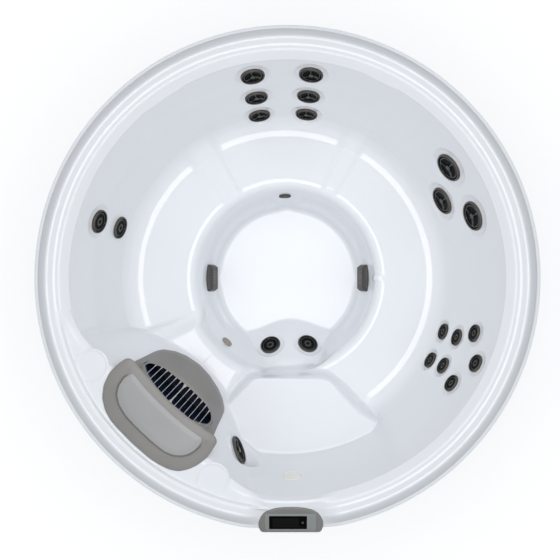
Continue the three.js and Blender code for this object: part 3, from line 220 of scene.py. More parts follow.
def add_mesh(name, verts, quads, tris, sharp=None):
    """New mesh object at the origin from points (metres), quads and triangles, turned to face outwards.

    Edges sharper than the given angle in degrees are shaded sharp."""
    flat = np.vstack([quads[:, :3], quads[:, [0, 2, 3]], tris])
    a, b, c = verts[flat].transpose(1, 0, 2)
    if (a * np.cross(b, c)).sum() < 0:
        quads, tris = quads[:, ::-1], tris[:, ::-1]
    mesh = bpy.data.meshes.new(name)
    loops = np.concatenate([quads.ravel(), tris.ravel()]).astype(np.int32)
    starts = np.concatenate([np.arange(len(quads)) * 4, len(quads) * 4 + np.arange(len(tris)) * 3])
    mesh.vertices.add(len(verts))
    mesh.vertices.foreach_set("co", verts.ravel())
    mesh.loops.add(len(loops))
    mesh.loops.foreach_set("vertex_index", loops)
    mesh.polygons.add(len(starts))
    mesh.polygons.foreach_set("loop_start", starts)
    mesh.update(calc_edges=True)
    mesh.validate()
    mesh.shade_smooth()
    if sharp:
        mesh.set_sharp_from_angle(angle=math.radians(sharp))
    return scene_object(name, mesh)


def closed_rings(rings, wrap_rows=False):
    """Points, quads and triangles of a closed body through rings of points.

    With wrap_rows the last ring joins the first, and otherwise each end closes on a point in its middle."""
    rows, columns = rings.shape[:2]
    verts = rings.reshape(-1, 3)
    number = np.arange(rows * columns).reshape(rows, columns)
    if wrap_rows:
        number = np.concatenate([number, number[:1]])
    ahead = np.roll(number, -1, 1)
    quads = np.stack([number[:-1], number[1:], ahead[1:], ahead[:-1]], -1).reshape(-1, 4)
    if wrap_rows:
        return verts, quads, np.zeros((0, 3), int)
    start, end = np.full(columns, len(verts)), np.full(columns, len(verts) + 1)
    verts = np.vstack([verts, rings[0].mean(0), rings[-1].mean(0)])
    return verts, quads, np.vstack([np.stack([start, number[0], ahead[0]], 1),
                                    np.stack([end, ahead[-1], number[-1]], 1)])


def merged(parts):
    """Several bodies' points, quads and triangles as one set."""
    starts = np.cumsum([0] + [len(verts) for verts, _, _ in parts])
    moved = [(verts, quads + start, tris + start) for (verts, quads, tris), start in zip(parts, starts)]
    return [np.vstack(arrays) for arrays in zip(*moved)]


def frame_at(point, normal):
    """Origin and axes of a place: Z along the normal, which isn't upright, and X level."""
    z = normal / np.linalg.norm(normal)
    x = np.cross([0, 0, 1], z)
    x /= np.linalg.norm(x)
    return np.asarray(point, float), np.stack([x, np.cross(z, x), z])


def at_frame(points, place):
    """Local points carried to a place."""
    origin, axes = place
    return points @ axes + origin


def body_at(rings, place, wrap_rows=False):
    """Closed body through rings of local points (mm), carried to a place and turned to metres."""
    return closed_rings(at_frame(rings, place) * MM, wrap_rows)


AXIS_GAP = 1e-7  # keeps the points of a ring on the axis apart


def turned(profile, columns):
    """Rings of a body of revolution about Z: (r cos a, r sin a, z) for each (r, z) of the profile."""
    p = np.asarray(profile, float)
    a = np.linspace(0, 2 * np.pi, columns, endpoint=False)
    r = np.maximum(p[:, :1], AXIS_GAP)
    return np.stack([r * np.cos(a), r * np.sin(a), np.repeat(p[:, 1:2], columns, 1)], -1)


def outline_rings(outline, levels):
    """Rings that follow a closed outline (x, y), each moved in by an inset and set at a height."""
    o = np.asarray(outline, float)
    tangent = np.roll(o, -1, 0) - np.roll(o, 1, 0)
    tangent /= np.linalg.norm(tangent, axis=1)[:, None]
    area = (o[:, 0] * np.roll(o[:, 1], -1) - np.roll(o[:, 0], -1) * o[:, 1]).sum()
    inward = np.stack([-tangent[:, 1], tangent[:, 0]], 1) * np.sign(area)
    rings = [np.column_stack([o + inward * inset, np.full(len(o), height)]) for inset, height in levels]
    return np.stack(rings)


# Materials


def set_inputs(node, **values):
    """Sets a node's inputs by name, with _ for a space, and gives the node back."""
    for label, value in values.items():
        node.inputs[label.replace("_", " ")].default_value = value
    return node


def wire(links, *wires):
    """Links sockets, each pair given as node, output, node and input."""
    for source, output, target, entry in wires:
        links.new(source.outputs[output], target.inputs[entry])


def group_of(name, inputs, outputs, build):
    """Shader node group with named sockets, made once."""
    found = bpy.data.node_groups.get(name)
    if found:
        return found
    group = bpy.data.node_groups.new(name, "ShaderNodeTree")
    for label, kind, default in inputs:
        socket = group.interface.new_socket(label, in_out="INPUT", socket_type=kind)
        socket.default_value = default
    for label, kind in outputs:
        group.interface.new_socket(label, in_out="OUTPUT", socket_type=kind)
    nodes, links = group.nodes, group.links
    build(nodes, links, nodes.new("NodeGroupInput"), nodes.new("NodeGroupOutput"))
    return group


def build_tone(nodes, links, source, sink):
    """Slow colour variation: noise moves the colour between a darker and a lighter tone of itself."""
    place = nodes.new("ShaderNodeTexCoord")
    noise = set_inputs(nodes.new("ShaderNodeTexNoise"), Detail=4)
    span = set_inputs(nodes.new("ShaderNodeMapRange"), From_Min=0.3, From_Max=0.7)
    shade = nodes.new("ShaderNodeMix")
    shade.data_type = "RGBA"
    wire(links, (place, "Object", noise, "Vector"), (source, "Scale", noise, "Scale"),
         (noise, "Fac", span, "Value"), (span, "Result", shade, "Factor"), (source, "Dark", shade, "A"),
         (source, "Light", shade, "B"), (shade, "Result", sink, "Color"))


def build_grain(nodes, links, source, sink):
    """Fine moulded grain: the height of a small noise, and a roughness between two limits that follows it."""
    place = nodes.new("ShaderNodeTexCoord")
    noise = set_inputs(nodes.new("ShaderNodeTexNoise"), Detail=3)
    rough = nodes.new("ShaderNodeMapRange")
    wire(links, (place, "Object", noise, "Vector"), (source, "Scale", noise, "Scale"),
         (noise, "Fac", sink, "Height"), (noise, "Fac", rough, "Value"), (source, "Smoothest", rough, "To Min"),
         (source, "Roughest", rough, "To Max"), (rough, "Result", sink, "Roughness"))


def tone_group():
    """The colour variation group."""
    return group_of("Slow Tone", [
        ("Dark", "NodeSocketColor", (0.4, 0.4, 0.4, 1)), ("Light", "NodeSocketColor", (0.5, 0.5, 0.5, 1)),
        ("Scale", "NodeSocketFloat", 6.0)], [("Color", "NodeSocketColor")], build_tone)


def grain_group():
    """The moulded grain group."""
    return group_of("Moulded Grain", [
        ("Scale", "NodeSocketFloat", 900.0), ("Smoothest", "NodeSocketFloat", 0.4),
        ("Roughest", "NodeSocketFloat", 0.6)],
        [("Height", "NodeSocketFloat"), ("Roughness", "NodeSocketFloat")], build_grain)


SMOOTHEST = 0.02  # lowest roughness that the grain may reach


def finish(name, colour, roughness, spread=0.05, metallic=0.0, grain=900.0, bump=0.05, depth=0.0004,
           tone=5.0, vary=0.06, ior=1.49):
    """Material, made once: varied base colour, grain in roughness and bump, and plain gloss values."""
    found = bpy.data.materials.get(name)
    if found:
        return found
    material = bpy.data.materials.new(name)
    material.use_nodes = True
    nodes, links = material.node_tree.nodes, material.node_tree.links
    shader = set_inputs(nodes["Principled BSDF"], Metallic=metallic, IOR=ior)
    colour = np.asarray(colour[:3], float)
    tones, grains = nodes.new("ShaderNodeGroup"), nodes.new("ShaderNodeGroup")
    tones.node_tree, grains.node_tree = tone_group(), grain_group()
    set_inputs(tones, Dark=(*np.clip(colour * (1 - vary), 0, 1), 1),
               Light=(*np.clip(colour * (1 + vary), 0, 1), 1), Scale=tone)
    set_inputs(grains, Scale=grain, Smoothest=max(SMOOTHEST, roughness - spread),
               Roughest=min(1.0, roughness + spread))
    bumps = set_inputs(nodes.new("ShaderNodeBump"), Strength=bump, Distance=depth)
    wire(links, (tones, "Color", shader, "Base Color"), (grains, "Roughness", shader, "Roughness"),
         (grains, "Height", bumps, "Height"), (bumps, "Normal", shader, "Normal"))
    return material


def add_piece(name, mesh, material, body, nodes=(), sharp=None):
    """New piece with its material, the body that it rides on and the CAD nodes that it stands for."""
    obj = add_mesh(name, *mesh, sharp=sharp)
    obj.data.materials.append(material)
    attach(obj, body)
    if nodes:
        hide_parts(*nodes)
    return obj


def mark_faces(obj, material, marks):
    """Gives a second material to the marked ones of a mesh's first faces."""
    obj.data.materials.append(material)
    chosen = np.zeros(len(obj.data.polygons), np.int32)
    chosen[:len(marks)] = marks
    obj.data.polygons.foreach_set("material_index", chosen)


def between(passed):
    """Marks of a ringed body's quads: those with both ends on points that pass a test."""
    return (passed[:-1] & passed[1:]).ravel()


# Acrylic shell, in millimetres: X to the right and Y to the back

# Levels: floor, foot line, bench, knee of the walls, their crease, and deck
FLOOR, FOOT_LINE, SEAT, KNEE, CREASE_LEVEL, DECK = 50.3, 272.0, 345.0, 690.0, 852.0, 868.0
# Radius of the crease, reach of the deck's straight edge, and radius where the rim's own section starts
CREASE, CHORD, RIM_START = 857.0, 725.0, 902
BLOCK_AZIMUTH = math.radians(226.8)
OUT = np.array([math.cos(BLOCK_AZIMUTH), math.sin(BLOCK_AZIMUTH)])
ALONG = np.array([-math.sin(BLOCK_AZIMUTH), math.cos(BLOCK_AZIMUTH)])


def block_axes(x, y):
    """Reach out towards the filter block and offset along it, of points in plan."""
    return x * OUT[0] + y * OUT[1], x * ALONG[0] + y * ALONG[1]


def from_block(reach, offset, height):
    """Points from reach, offset and height."""
    reach, offset, height = np.broadcast_arrays(reach, offset, height)
    return np.stack([reach * OUT[0] + offset * ALONG[0], reach * OUT[1] + offset * ALONG[1], height], -1)


# Radii of the basin's corners, each plain and where the dome, the filter block or the front seat moves it
FLOOR_EDGE = 348
FOOT_RADII, EDGE_RADII, BACK_RADII, KNEE_RADII = (402, 438), (424, 458), (725, 776), (809, 829)
EDGE_LIP, SEAT_DISH = 5, 6.0
# Azimuths in degrees: the right suction cover, the return fitting and the left cover
FITTINGS_AT = (0, 90, 180)
# Ridges that divide the seats: azimuth and half width in degrees, then their fade and rise
DIVIDERS = ((64.2, 5.0), (123.9, 6.2))
DIVIDER_FADE, DIVIDER_RISE = 2.4, 5


def divider_share(azimuth):
    """1 on the ridges that divide the seats, easing to 0 at their sides."""
    return sum(ease((half - np.abs(azimuth - middle)) / DIVIDER_FADE) for middle, half in DIVIDERS)


def fitting_gaps(azimuth):
    """Degrees between the azimuths and each fitting of the foot wall."""
    return [np.abs((azimuth - at + 540) % 360 - 180) for at in FITTINGS_AT]


def basin_corners(azimuth):
    """Corner points (radius, height) of the basin's section at each azimuth, floor edge to crease."""
    foot = sector(azimuth, 215, 285, 25)
    edge = sector(azimuth, 210, 262, 8)
    front = sector(azimuth, 262, 298, 8)
    gaps = fitting_gaps(azimuth)
    bulge = 9 * np.maximum.reduce([ease(1 - gap / 8) for gap in gaps])
    pinch = 16 * ease(1 - gaps[0] / 3.2)
    edge_rise = 34 * sector(azimuth, 209, 243, 6)
    back_rise = 70 * sector(azimuth, 205, 241, 6)
    ridge = DIVIDER_RISE * divider_share(azimuth)
    to_left = -np.cos(np.radians(azimuth))
    zero = np.zeros_like(azimuth)
    return [np.stack(pair, -1) for pair in (
        (FLOOR_EDGE + bulge, zero + FLOOR),
        (mix(*FOOT_RADII, foot), zero + FOOT_LINE),
        (mix(*EDGE_RADII, edge) - pinch + 9 * to_left, SEAT + EDGE_LIP + edge_rise + ridge),
        (mix(*BACK_RADII, front) + 15 * to_left, SEAT + back_rise + ridge),
        (mix(*KNEE_RADII, front), zero + KNEE),
        (zero + CREASE, zero + CREASE_LEVEL),
    )]


# Radius and steps of the arc in each corner: floor edge, foot line, seat edge, dish of the seat, seat back, knee
CORNER_ARCS = ((26, 8), (30, 4), (50, 14), (700, 2), (92, 24), (260, 6))


def basin_section(azimuth):
    """Section of the basin at each azimuth as points (radius, height): straight runs joined by arcs."""
    floor, foot, edge, back, knee, crease = basin_corners(azimuth)
    centre = np.stack([np.zeros_like(azimuth), np.full_like(azimuth, FLOOR)], -1)
    middle = (edge + back) / 2 - np.array([0, SEAT_DISH])
    stops = [centre, floor, foot, edge, middle, back, knee, crease]
    arcs = [corner_arc(*stops[k:k + 3], radius, steps) for k, (radius, steps) in enumerate(CORNER_ARCS)]
    return np.concatenate([centre[:, None], *arcs, crease[:, None]], 1)


# Chamfers: start and end radius, the slopes in degrees between which they lie, and their own slope
CHAMFERS = ((560, 800, 3, 19, 10), (395, 520, 0.5, 17, 6))
CHAMFER_TURN = 15
FOLD_START, FOLD_WIDTH, FOLD_DEPTH = 360, 42, 30


def chamfered(radius, base, azimuth):
    """Sections whose corners at the seat's edge and at the foot of the wall hold a narrow flat chamfer.

    Where the slope lies between two limits it is set to one value, and the heights are summed again from the
    slopes. At the dividers the chamfer is steeper. The foot wall leans back and steepens again, by one swing
    of a squared sine, between the fittings."""
    divider = divider_share(azimuth)[:, None]
    slope = np.degrees(np.arctan(np.diff(base) / np.diff(radius)))
    for start, end, low, high, flat in CHAMFERS:
        held = (radius[1:] > start) & (radius[1:] < end) & (slope > low) & (slope < high)
        slope = np.where(held, flat + CHAMFER_TURN * divider, slope)
    climb = np.tan(np.radians(slope)) * np.diff(radius)
    summed = np.concatenate([base[:, :1], base[:, :1] + np.cumsum(climb, 1)], 1)
    clear = ease((np.minimum.reduce(fitting_gaps(azimuth)) - 8) / 5) * (1 - sector(azimuth, 225, 315, 10))
    share = np.clip((radius - FOLD_START) / FOLD_WIDTH, 0, 1)
    return summed - FOLD_DEPTH * np.sin(np.pi * share) ** 2 * clear[:, None]


NARROWEST = 1e-3  # least distance between two outlines


def stacked_height(along, across, stack, radius, steps=16):
    """Height of a surface through stacked front outlines, each given by its corners and its height.

    Between two outlines the corners move in straight lines, and at each level they are rounded by the radius.
    At each place the height grows evenly with how far the point has gone in."""
    levels = []
    for k, ((low, low_z), (high, high_z)) in enumerate(zip(stack[:-1], stack[1:])):
        for share in np.linspace(0, 1, steps + 1)[(1 if k else 0):]:
            line = rounded(mix(np.asarray(low, float), np.asarray(high, float), share), radius, 300)
            levels.append((np.interp(along, line[:, 0], line[:, 1]), mix(low_z, high_z, share)))
    height = np.zeros_like(along)
    for (near, near_z), (far, far_z) in zip(levels[:-1], levels[1:]):
        share = (across - near) / np.maximum(far - near, NARROWEST)
        height = np.where(share >= 0, mix(near_z, far_z, np.clip(share, 0, 1)), height)
    (first, first_z), (second, second_z) = levels[:2]
    (inner, inner_z), (last, last_z) = levels[-2:]
    slope = (second_z - first_z) / np.maximum(second - first, NARROWEST)
    rise = (last_z - inner_z) / np.maximum(last - inner, NARROWEST)
    height = np.where(across > last, last_z + (across - last) * rise, height)
    return np.where(across < first, first_z + (across - first) * slope, height)


# Front outlines of the filter block (offset, reach), the front seat and the foot dome (x to the right, reach)
BLOCK_FOOT = [(-755, 990), (-455, 690), (-330, 632), (-183, 564), (-10, 541), (150, 556), (215, 590),
              (357, 663), (480, 668), (780, 968)]
BLOCK_HEAD = [(-860, CHORD), (-560, CHORD), (-432, CHORD), (-240, CHORD), (-15, CHORD), (190, CHORD),
              (265, CHORD), (380, CHORD), (560, CHORD), (860, CHORD)]


def block_height(x, y):
    """Filter block: walls ruled from its foot to the straight edge of its deck."""
    reach, offset = block_axes(x, y)
    return stacked_height(offset, reach, [(BLOCK_FOOT, SEAT), (BLOCK_HEAD, CREASE_LEVEL)], 40)


FRONT_HEAD = [(-560, 900), (-422, 718), (-251, 543), (-155, 449), (166, 449), (193, 458), (275, 552),
              (332, 609), (426, 660), (561, 718), (800, 900)]
FRONT_MID = [(-560, 900), (-449, 718), (-285, 508), (-220, 438), (189, 411), (278, 484), (388, 595),
             (449, 623), (483, 633), (606, 696), (860, 900)]
FRONT_LOW = [(x, reach - 34) for x, reach in FRONT_MID]
FRONT_SEAT, FRONT_HALF_WAY = 450.0, 270.0
FRONT_BACK, FRONT_RISE = 806, 28
FRONT_DISH, FRONT_DISH_START, FRONT_DISH_WIDTH = 5, 450, 200


def front_seat_height(x, y):
    """Cool-down seat: three stacked outlines, with a rounded edge and a rise into the wall behind.

    The rise is a quarter of a circle, r - sqrt(r^2 - s^2), over the last stretch before the wall."""
    stack = [(FRONT_LOW, FLOOR), (FRONT_MID, FRONT_HALF_WAY), (FRONT_HEAD, FRONT_SEAT)]
    radius = np.hypot(x, y)
    gap = np.clip(1 - (FRONT_BACK - radius) / FRONT_RISE, 0, 1)
    rise = FRONT_RISE * (1 - np.sqrt(np.clip(1 - gap * gap, 0, 1)))
    dish = FRONT_DISH * ease((radius - FRONT_DISH_START) / FRONT_DISH_WIDTH)
    return lower(stacked_height(x, -y, stack, 34), FRONT_SEAT - dish + rise, 46)


DOME_FOOT = [(-440, 640), (-290, 420), (-214, 274), (-150, 261), (-100, 240), (-50, 218), (10, 207),
             (70, 215), (120, 232), (170, 252), (222, 263), (300, 420), (450, 640)]
DOME_HEAD = [(-400, 640), (-201, 500), (-147, 441), (-101, 431), (-66, 414), (-32, 400), (10, 392),
             (52, 397), (87, 412), (122, 428), (158, 441), (209, 500), (410, 640)]
DOME_LINE, DOME_TOP = 250.0, 262.0


def dome_height(x, y):
    """Foot dome: a bell outline that draws back as it rises."""
    wall = stacked_height(x, -y, [(DOME_FOOT, FLOOR), (DOME_HEAD, DOME_LINE)], 40)
    return lower(wall, np.full_like(wall, DOME_TOP), 40)


def crease_distance(x, y):
    """How far points lie outside the line where the walls end, and how much that line is rounded inwards there.

    The line is the circle of the crease cut by the straight edge of the deck, with their corner rounded."""
    circle, straight = np.hypot(x, y) - CREASE, block_axes(x, y)[0] - CHORD
    past = higher(circle, straight, 60)
    return past, past - np.maximum(circle, straight)


def wall_height(x, y, base):
    """Height below the crease line: the rounded maximum of the basin, the dome, the seat and the block.

    The fillets are 10 to 50 mm wide up the dome, 50 to 6 mm along the front seat, and 4 to 38 mm down the
    block. Near the deck's corners the walls are lifted with the rounding of the crease line."""
    past, shift = crease_distance(x, y)
    z = higher(base, dome_height(x, y), mix(10, 50, ease((base - 60) / 110)))
    z = higher(z, front_seat_height(x, y), mix(50, 6, ease((np.hypot(x, y) - KNEE) / 60)))
    lift = 3.4 * shift * ease((base - 560) / 150)
    z = higher(z + lift, block_height(x, y) + 1.6 * lift, 4 + 34 * ease(-past / 60))
    return np.minimum(z, CREASE_LEVEL + 0.8 * np.minimum(past, 0))


# Heights over the distance past the crease line, on the plain rim, round the control panel and on the deck
INNER_RIM = [(0, 852), (8, 860.4), (16, 868.6), (22, 874.4), (26, 877.8), (29, 879.6), (32, 880.7),
             (36, 881.4), (46, 882.0)]
INNER_LAND = [(0, 852), (4, 864), (7, 873), (10, 877.8), (15, 879.6), (18, 880.0), (24, 879.2), (32, 877.4),
              (46, 874.4)]
INNER_DECK = [(0, 852), (6, 857), (12, 861.3), (18, 864.6), (24, 866.6), (30, 867.6), (36, 868), (46, 868)]
# Section of the rim's outer part: radius, height of the plain rim, and height at the land of the control panel
RIM = [(902, 882.0, 874.6), (904.5, 882.6, 873.6), (909.5, 884.2, 871.6), (912, 884.6, 870.6),
       (929, 885.5, 864.4), (931, 885.9, 863.7), (934, 887.0, 862.6), (936, 887.4, 861.8), (940, 887.0, 860.3),
       (945, 885.0, 858.4), (950, 882.0, 856.4), (955, 878.6, 853.8), (960, 875.0, 851.2), (965, 871.0, 848.8),
       (970, 866.6, 846.6), (973.5, 862.8, 845.2), (975.5, 861.0, 844.4), (978, 860.2, 843.5),
       (987, 859.6, 840.8), (989.4, 858.6, 839.8), (990, 856.5, 838.6), (990, 851, 836), (989, 849.5, 834.5),
       (972, 848.5, 833.5)]
RIM_UNDERSIDE = [(966, 820), (958, 835), (945, 835), (925, 835), (908, 835), (902, 835)]
RIM_MIDDLE, RIM_BLEND, RIM_ROWS = 950, 9, 88
PANEL_X = 13.0
LAND_HALF, LAND_FADE = 96, 100
STEP_RADIUS, STEP_WIDTH, STEP_RISE = 892, 9, 13.0
DECK_START, DECK_BLEND = 692, 46


def panel_share(x, y):
    """1 on the land of the control panel, easing to 0 on both sides of it."""
    return np.where(y < 0, 1 - ease((np.abs(x - PANEL_X) - LAND_HALF) / LAND_FADE), 0)


def top_height(x, y):
    """Height between the crease line and the rim's own section, with the lower deck round the filter."""
    past, _ = crease_distance(x, y)
    rim, land, deck = (np.interp(past, *np.transpose(line)) for line in (INNER_RIM, INNER_LAND, INNER_DECK))
    step = STEP_RISE * ease((np.hypot(x, y) - STEP_RADIUS) / STEP_WIDTH)
    near_filter = ease((block_axes(x, y)[0] - DECK_START) / DECK_BLEND)
    return mix(mix(rim, land, panel_share(x, y)), deck + step, near_filter)


CUPS = [(-763.7, -340.0), (-291.4, -783.6)]
CUP_ROOM, CUP_DEPTH = 58, 14
# Room of the skimmer (nearest and furthest reach, half length) and of the filter bucket (reach, radius)
SKIMMER_ROOM, BUCKET_ROOM, ROOM_FLOOR = (590, 742, 190), (781, 96), 512.0


def surface_height(x, y, base):
    """Height of the whole shell inside the rim's own section."""
    past, _ = crease_distance(x, y)
    return np.where(past < 0, wall_height(x, y, base), top_height(x, y))


def sunk(points):
    """Sinks the shell where the skimmer, the filter bucket and the cups have their room."""
    x, y, z = points[..., 0], points[..., 1], points[..., 2].copy()
    reach, offset = block_axes(x, y)
    near, far, half = SKIMMER_ROOM
    notch = (np.abs(offset) < half) & (reach > near) & (reach < far)
    well = np.hypot(reach - BUCKET_ROOM[0], offset) < BUCKET_ROOM[1]
    z = np.where(notch | well, np.minimum(z, ROOM_FLOOR), z)
    for cup_x, cup_y in CUPS:
        z = np.where(np.hypot(x - cup_x, y - cup_y) < CUP_ROOM, np.minimum(z, DECK - CUP_DEPTH), z)
    return np.stack([x, y, z], -1)


JET_RADII = {"back": 50, "right": 63.5, "lumbar": 38, "left": 50, "side": 63.5, "foot": 50}
# Pad pressed under a jet: reach and fade as shares of the ring's radius, then depth and fade in millimetres
PAD_REACH, PAD_FADE, PRESS_DEPTH, PRESS_FADE, DISH_DEPTH = 1.24, 0.2, 45, 25, 3.2


def jet_places():
    """Name, centre (mm), axis and flange radius (mm) of every jet, from the joints of the frame."""
    places = []
    for joint in frame["joints"]:
        name, _, motion = joint["name"].rpartition("_")
        if name.startswith("jet_") and motion == "turn":
            axis = np.array(joint["axis"], float)
            radius = JET_RADII[name.split("_")[1]]
            places.append((name, np.array(joint["pos_m"], float) / MM, axis / np.linalg.norm(axis), radius))
    return places


def pads_pressed(points):
    """Presses a flat round pad into the shell under each jet, with a shallow dish round the jet's ring.

    Points near the jet's axis and near the pad move along the axis by their distance to the pad. Outside the
    ring they move on by the dish's depth, and further out the press eases to nothing."""
    for _, centre, axis, radius in jet_places():
        offset = points - centre
        along = offset @ axis
        spread = np.linalg.norm(offset - along[..., None] * axis, axis=-1) / radius
        near = 1 - ease((np.abs(along) - PRESS_DEPTH) / PRESS_FADE)
        share = (1 - ease((spread - PAD_REACH) / PAD_FADE)) * near
        dish = DISH_DEPTH * ease((spread - 0.95) / 0.06) * share
        points = points - (along * share + dish)[..., None] * axis
    return points


# Stretches of azimuth with the step between the shell's sections in each, in degrees
STATIONS = [(0, 4, 0.8), (4, 12, 1.6), (12, 41, 0.45), (41, 57, 2), (57, 67, 0.9), (67, 76, 1.8),
            (76, 107, 0.45), (107, 118, 2), (118, 128, 0.9), (128, 157, 2), (157, 169, 0.45), (169, 176, 1.4),
            (176, 190, 1), (190, 328, 0.36), (328, 349, 0.45), (349, 356, 1.6), (356, 360, 0.8)]


def station_azimuths():
    """Azimuths in degrees of the shell's sections, closer together where jets and mouldings need it."""
    return np.concatenate([np.linspace(start, end, round((end - start) / step), endpoint=False)
                           for start, end, step in STATIONS])


# Rows of a section, and the rows that each piece of the shell runs through
ROWS = 327
SHELL_PIECES = {"footwell": (0, 109), "seats": (109, 218), "walls": (218, ROWS - 1)}
BEND_WEIGHT, LEVEL_WEIGHT, LEVEL_CLIMB = 60, 0.3, 0.02
UNDERSIDE_STRIDE = 6


def shell_rings():
    """Points of the whole upper surface from the middle of the floor to the rim's own section.

    Each section is sampled finely by radius. Its rows then lie at even steps of s, where ds is the length of the
    curve plus 60 mm for each radian that it turns, and less of that on the level floor."""
    azimuth = station_azimuths()
    angle = np.radians(azimuth)[:, None]
    radius = np.concatenate([np.linspace(0, 190, 6), np.arange(192, RIM_START + 1, 1.0)])[None]
    base = np.stack([np.interp(radius[0], *section.T) for section in basin_section(azimuth)])
    base = chamfered(radius[0], base, azimuth)
    z = surface_height(radius * np.cos(angle), radius * np.sin(angle), base)
    run, climb = np.diff(radius), np.diff(z)
    slope = np.arctan2(climb, run)
    bend = np.abs(np.diff(slope, prepend=slope[:, :1]))
    weight = np.where(np.abs(climb) < LEVEL_CLIMB, LEVEL_WEIGHT, 1)
    step = (np.hypot(run, climb) + BEND_WEIGHT * bend) * weight
    length = np.concatenate([np.zeros((len(azimuth), 1)), np.cumsum(step, 1)], 1)
    share = np.linspace(0, 1, ROWS)
    at = np.stack([np.interp(share * s[-1], s, radius[0]) for s in length])
    high = np.stack([np.interp(share * s[-1], s, h) for s, h in zip(length, z)])
    points = np.stack([at * np.cos(angle), at * np.sin(angle), high], -1)
    return pads_pressed(sunk(points)).transpose(1, 0, 2)


def backed(top, wall):
    """Rings of a closed sheet: the upper rings, then some of them a wall's thickness lower, back to the start."""
    under = np.concatenate([top[::-1][::UNDERSIDE_STRIDE], top[:1]]) - np.array([0, 0, wall])
    return np.concatenate([top, under]) * MM


def rim_rings():
    """Rim: its section swept round and closed below. Round the control panel the section changes to a sloping
    land, and beside the filter block it steps down to the deck."""
    angle = np.radians(station_azimuths())
    fine = np.linspace(0, len(RIM) - 1, RIM_ROWS)
    radius, plain, land = (np.interp(fine, range(len(RIM)), column)[:, None] for column in np.transpose(RIM))
    height = mix(plain, land, panel_share(RIM_MIDDLE * np.cos(angle), np.sin(angle)))
    inner = top_height(RIM_START * np.cos(angle), RIM_START * np.sin(angle))
    moved = mix(inner + (height - height[:1]), height, ease((radius - RIM_START) / RIM_BLEND))
    height = np.where(radius < RIM_MIDDLE, moved, height)
    under, level = np.transpose(RIM_UNDERSIDE)[:, :, None]
    radius = np.concatenate([radius, under]) + 0 * angle
    height = np.concatenate([height, level + 0 * angle])
    return np.stack([radius * np.cos(angle), radius * np.sin(angle), height], -1) * MM


CUP_PROFILE = [(66, -1.2), (66, -0.2), (65, 0.1), (62, 0.3), (59.5, 0), (57, -1.6), (54, -2.6), (48, -3.0),
               (30, -3.1), (0.01, -3.1)]
CUP_UNDERSIDE = [(64, -3.0), (56, -10), (0.01, -10)]


def cup_rings(x, y):
    """Shallow cup in the deck: a thin flange with a bead, a rounded wall and a flat floor, closed below."""
    top, base = (turned(line, 120) + np.array([x, y, DECK])
                 for line in (rounded(CUP_PROFILE, 2.5, 60), CUP_UNDERSIDE))
    return np.concatenate([top[::-1][:-1], top[:1], base]) * MM


# Pieces


class HOTTUB_OT_shell(bpy.types.Operator):
    """Builds the acrylic shell: basin, rim and deck."""

    bl_idname = "hot_tub.shell"
    bl_label = "Acrylic Shell"

    def execute(self, context):
        looks, sizes = context.scene.hot_tub_looks, context.scene.hot_tub_sizes
        acrylic = finish("White Acrylic", looks.acrylic, looks.acrylic_roughness, spread=0.02, grain=260.0,
                         bump=0.03, depth=0.0006, tone=1.6, vary=0.012)
        rings = shell_rings()
        for name, (first, last) in SHELL_PIECES.items():
            sheet = closed_rings(backed(rings[first:last + 1], sizes.shell_wall / MM), wrap_rows=first > 0)
            nodes = ["acrylic_shell"] if first == 0 else []
            add_piece(name, sheet, acrylic, "tub", nodes, sharp=60)
        add_piece("rim", closed_rings(rim_rings(), wrap_rows=True), acrylic, "tub", sharp=50)
        for index, (x, y) in enumerate(CUPS):
            add_piece(f"cup_{index + 1}", closed_rings(cup_rings(x, y)), acrylic, "tub", sharp=60)
        return {"FINISHED"}


# Half section of a jet's ring: shares of its radius, and of the flange's height or, below the pad, of the barrel
RING_SECTION = [
    (0.36, -1.0), (0.6, -1.0), (0.6, 0.02), (0.97, 0.02), (1.0, 0.12), (1.0, 0.34), (0.99, 0.62), (0.965, 0.84),
    (0.935, 0.96), (0.9, 1.0), (0.875, 0.92), (0.86, 0.7), (0.85, 0.45), (0.835, 0.25), (0.8, 0.14), (0.36, 0.1)]
BARREL = 12
SCALLOPS, SCALLOP_DEPTH = 36, 0.006


def jet_ring(radius, flange):
    """Jet face: a rounded ring with a barrel, scalloped finely round its outer edge by a cosine of the angle."""
    line = [(a * radius, b * flange if b > 0 else b * BARREL) for a, b in RING_SECTION]
    rings = turned(rounded(line, 0.8, 70), 96)
    angle, spread = np.arctan2(rings[..., 1], rings[..., 0]), np.hypot(rings[..., 0], rings[..., 1])
    wave = 0.5 + 0.5 * np.cos(SCALLOPS * angle)
    rings[..., :2] *= (1 - SCALLOP_DEPTH * wave * ease((spread / radius - 0.93) / 0.05))[..., None]
    return rings


def rotor_disc(radius, low, high):
    """Rotor: a domed disc with a hub and three ports sunk between its narrow spokes.

    The face falls with the square of the radius. A port is a band of radius within 0.87 radians of its middle."""
    face = np.linspace(0.02, 0.96, 26)
    share = np.concatenate([face, [0.985, 1.0, 1.0, 0.97, 0.5]])
    lift = np.concatenate([mix(1.0, 0.62, face ** 2), [0.55, 0.4, 0.1, 0.0, 0.0]])
    band = ease((share - 0.24) / 0.05) * (1 - ease((share - 0.84) / 0.05))
    band[len(face):] = 0
    angle = np.linspace(0, 2 * np.pi, 96, endpoint=False)
    apart = np.abs((angle - 0.6 + np.pi / 3) % (2 * np.pi / 3) - np.pi / 3)
    port = band[:, None] * (1 - ease((apart - 0.87) / 0.1))
    z = low + (high - low) * (lift[:, None] - 0.95 * port)
    r = radius * share[:, None]
    return np.stack([r * np.cos(angle), r * np.sin(angle), z], -1)


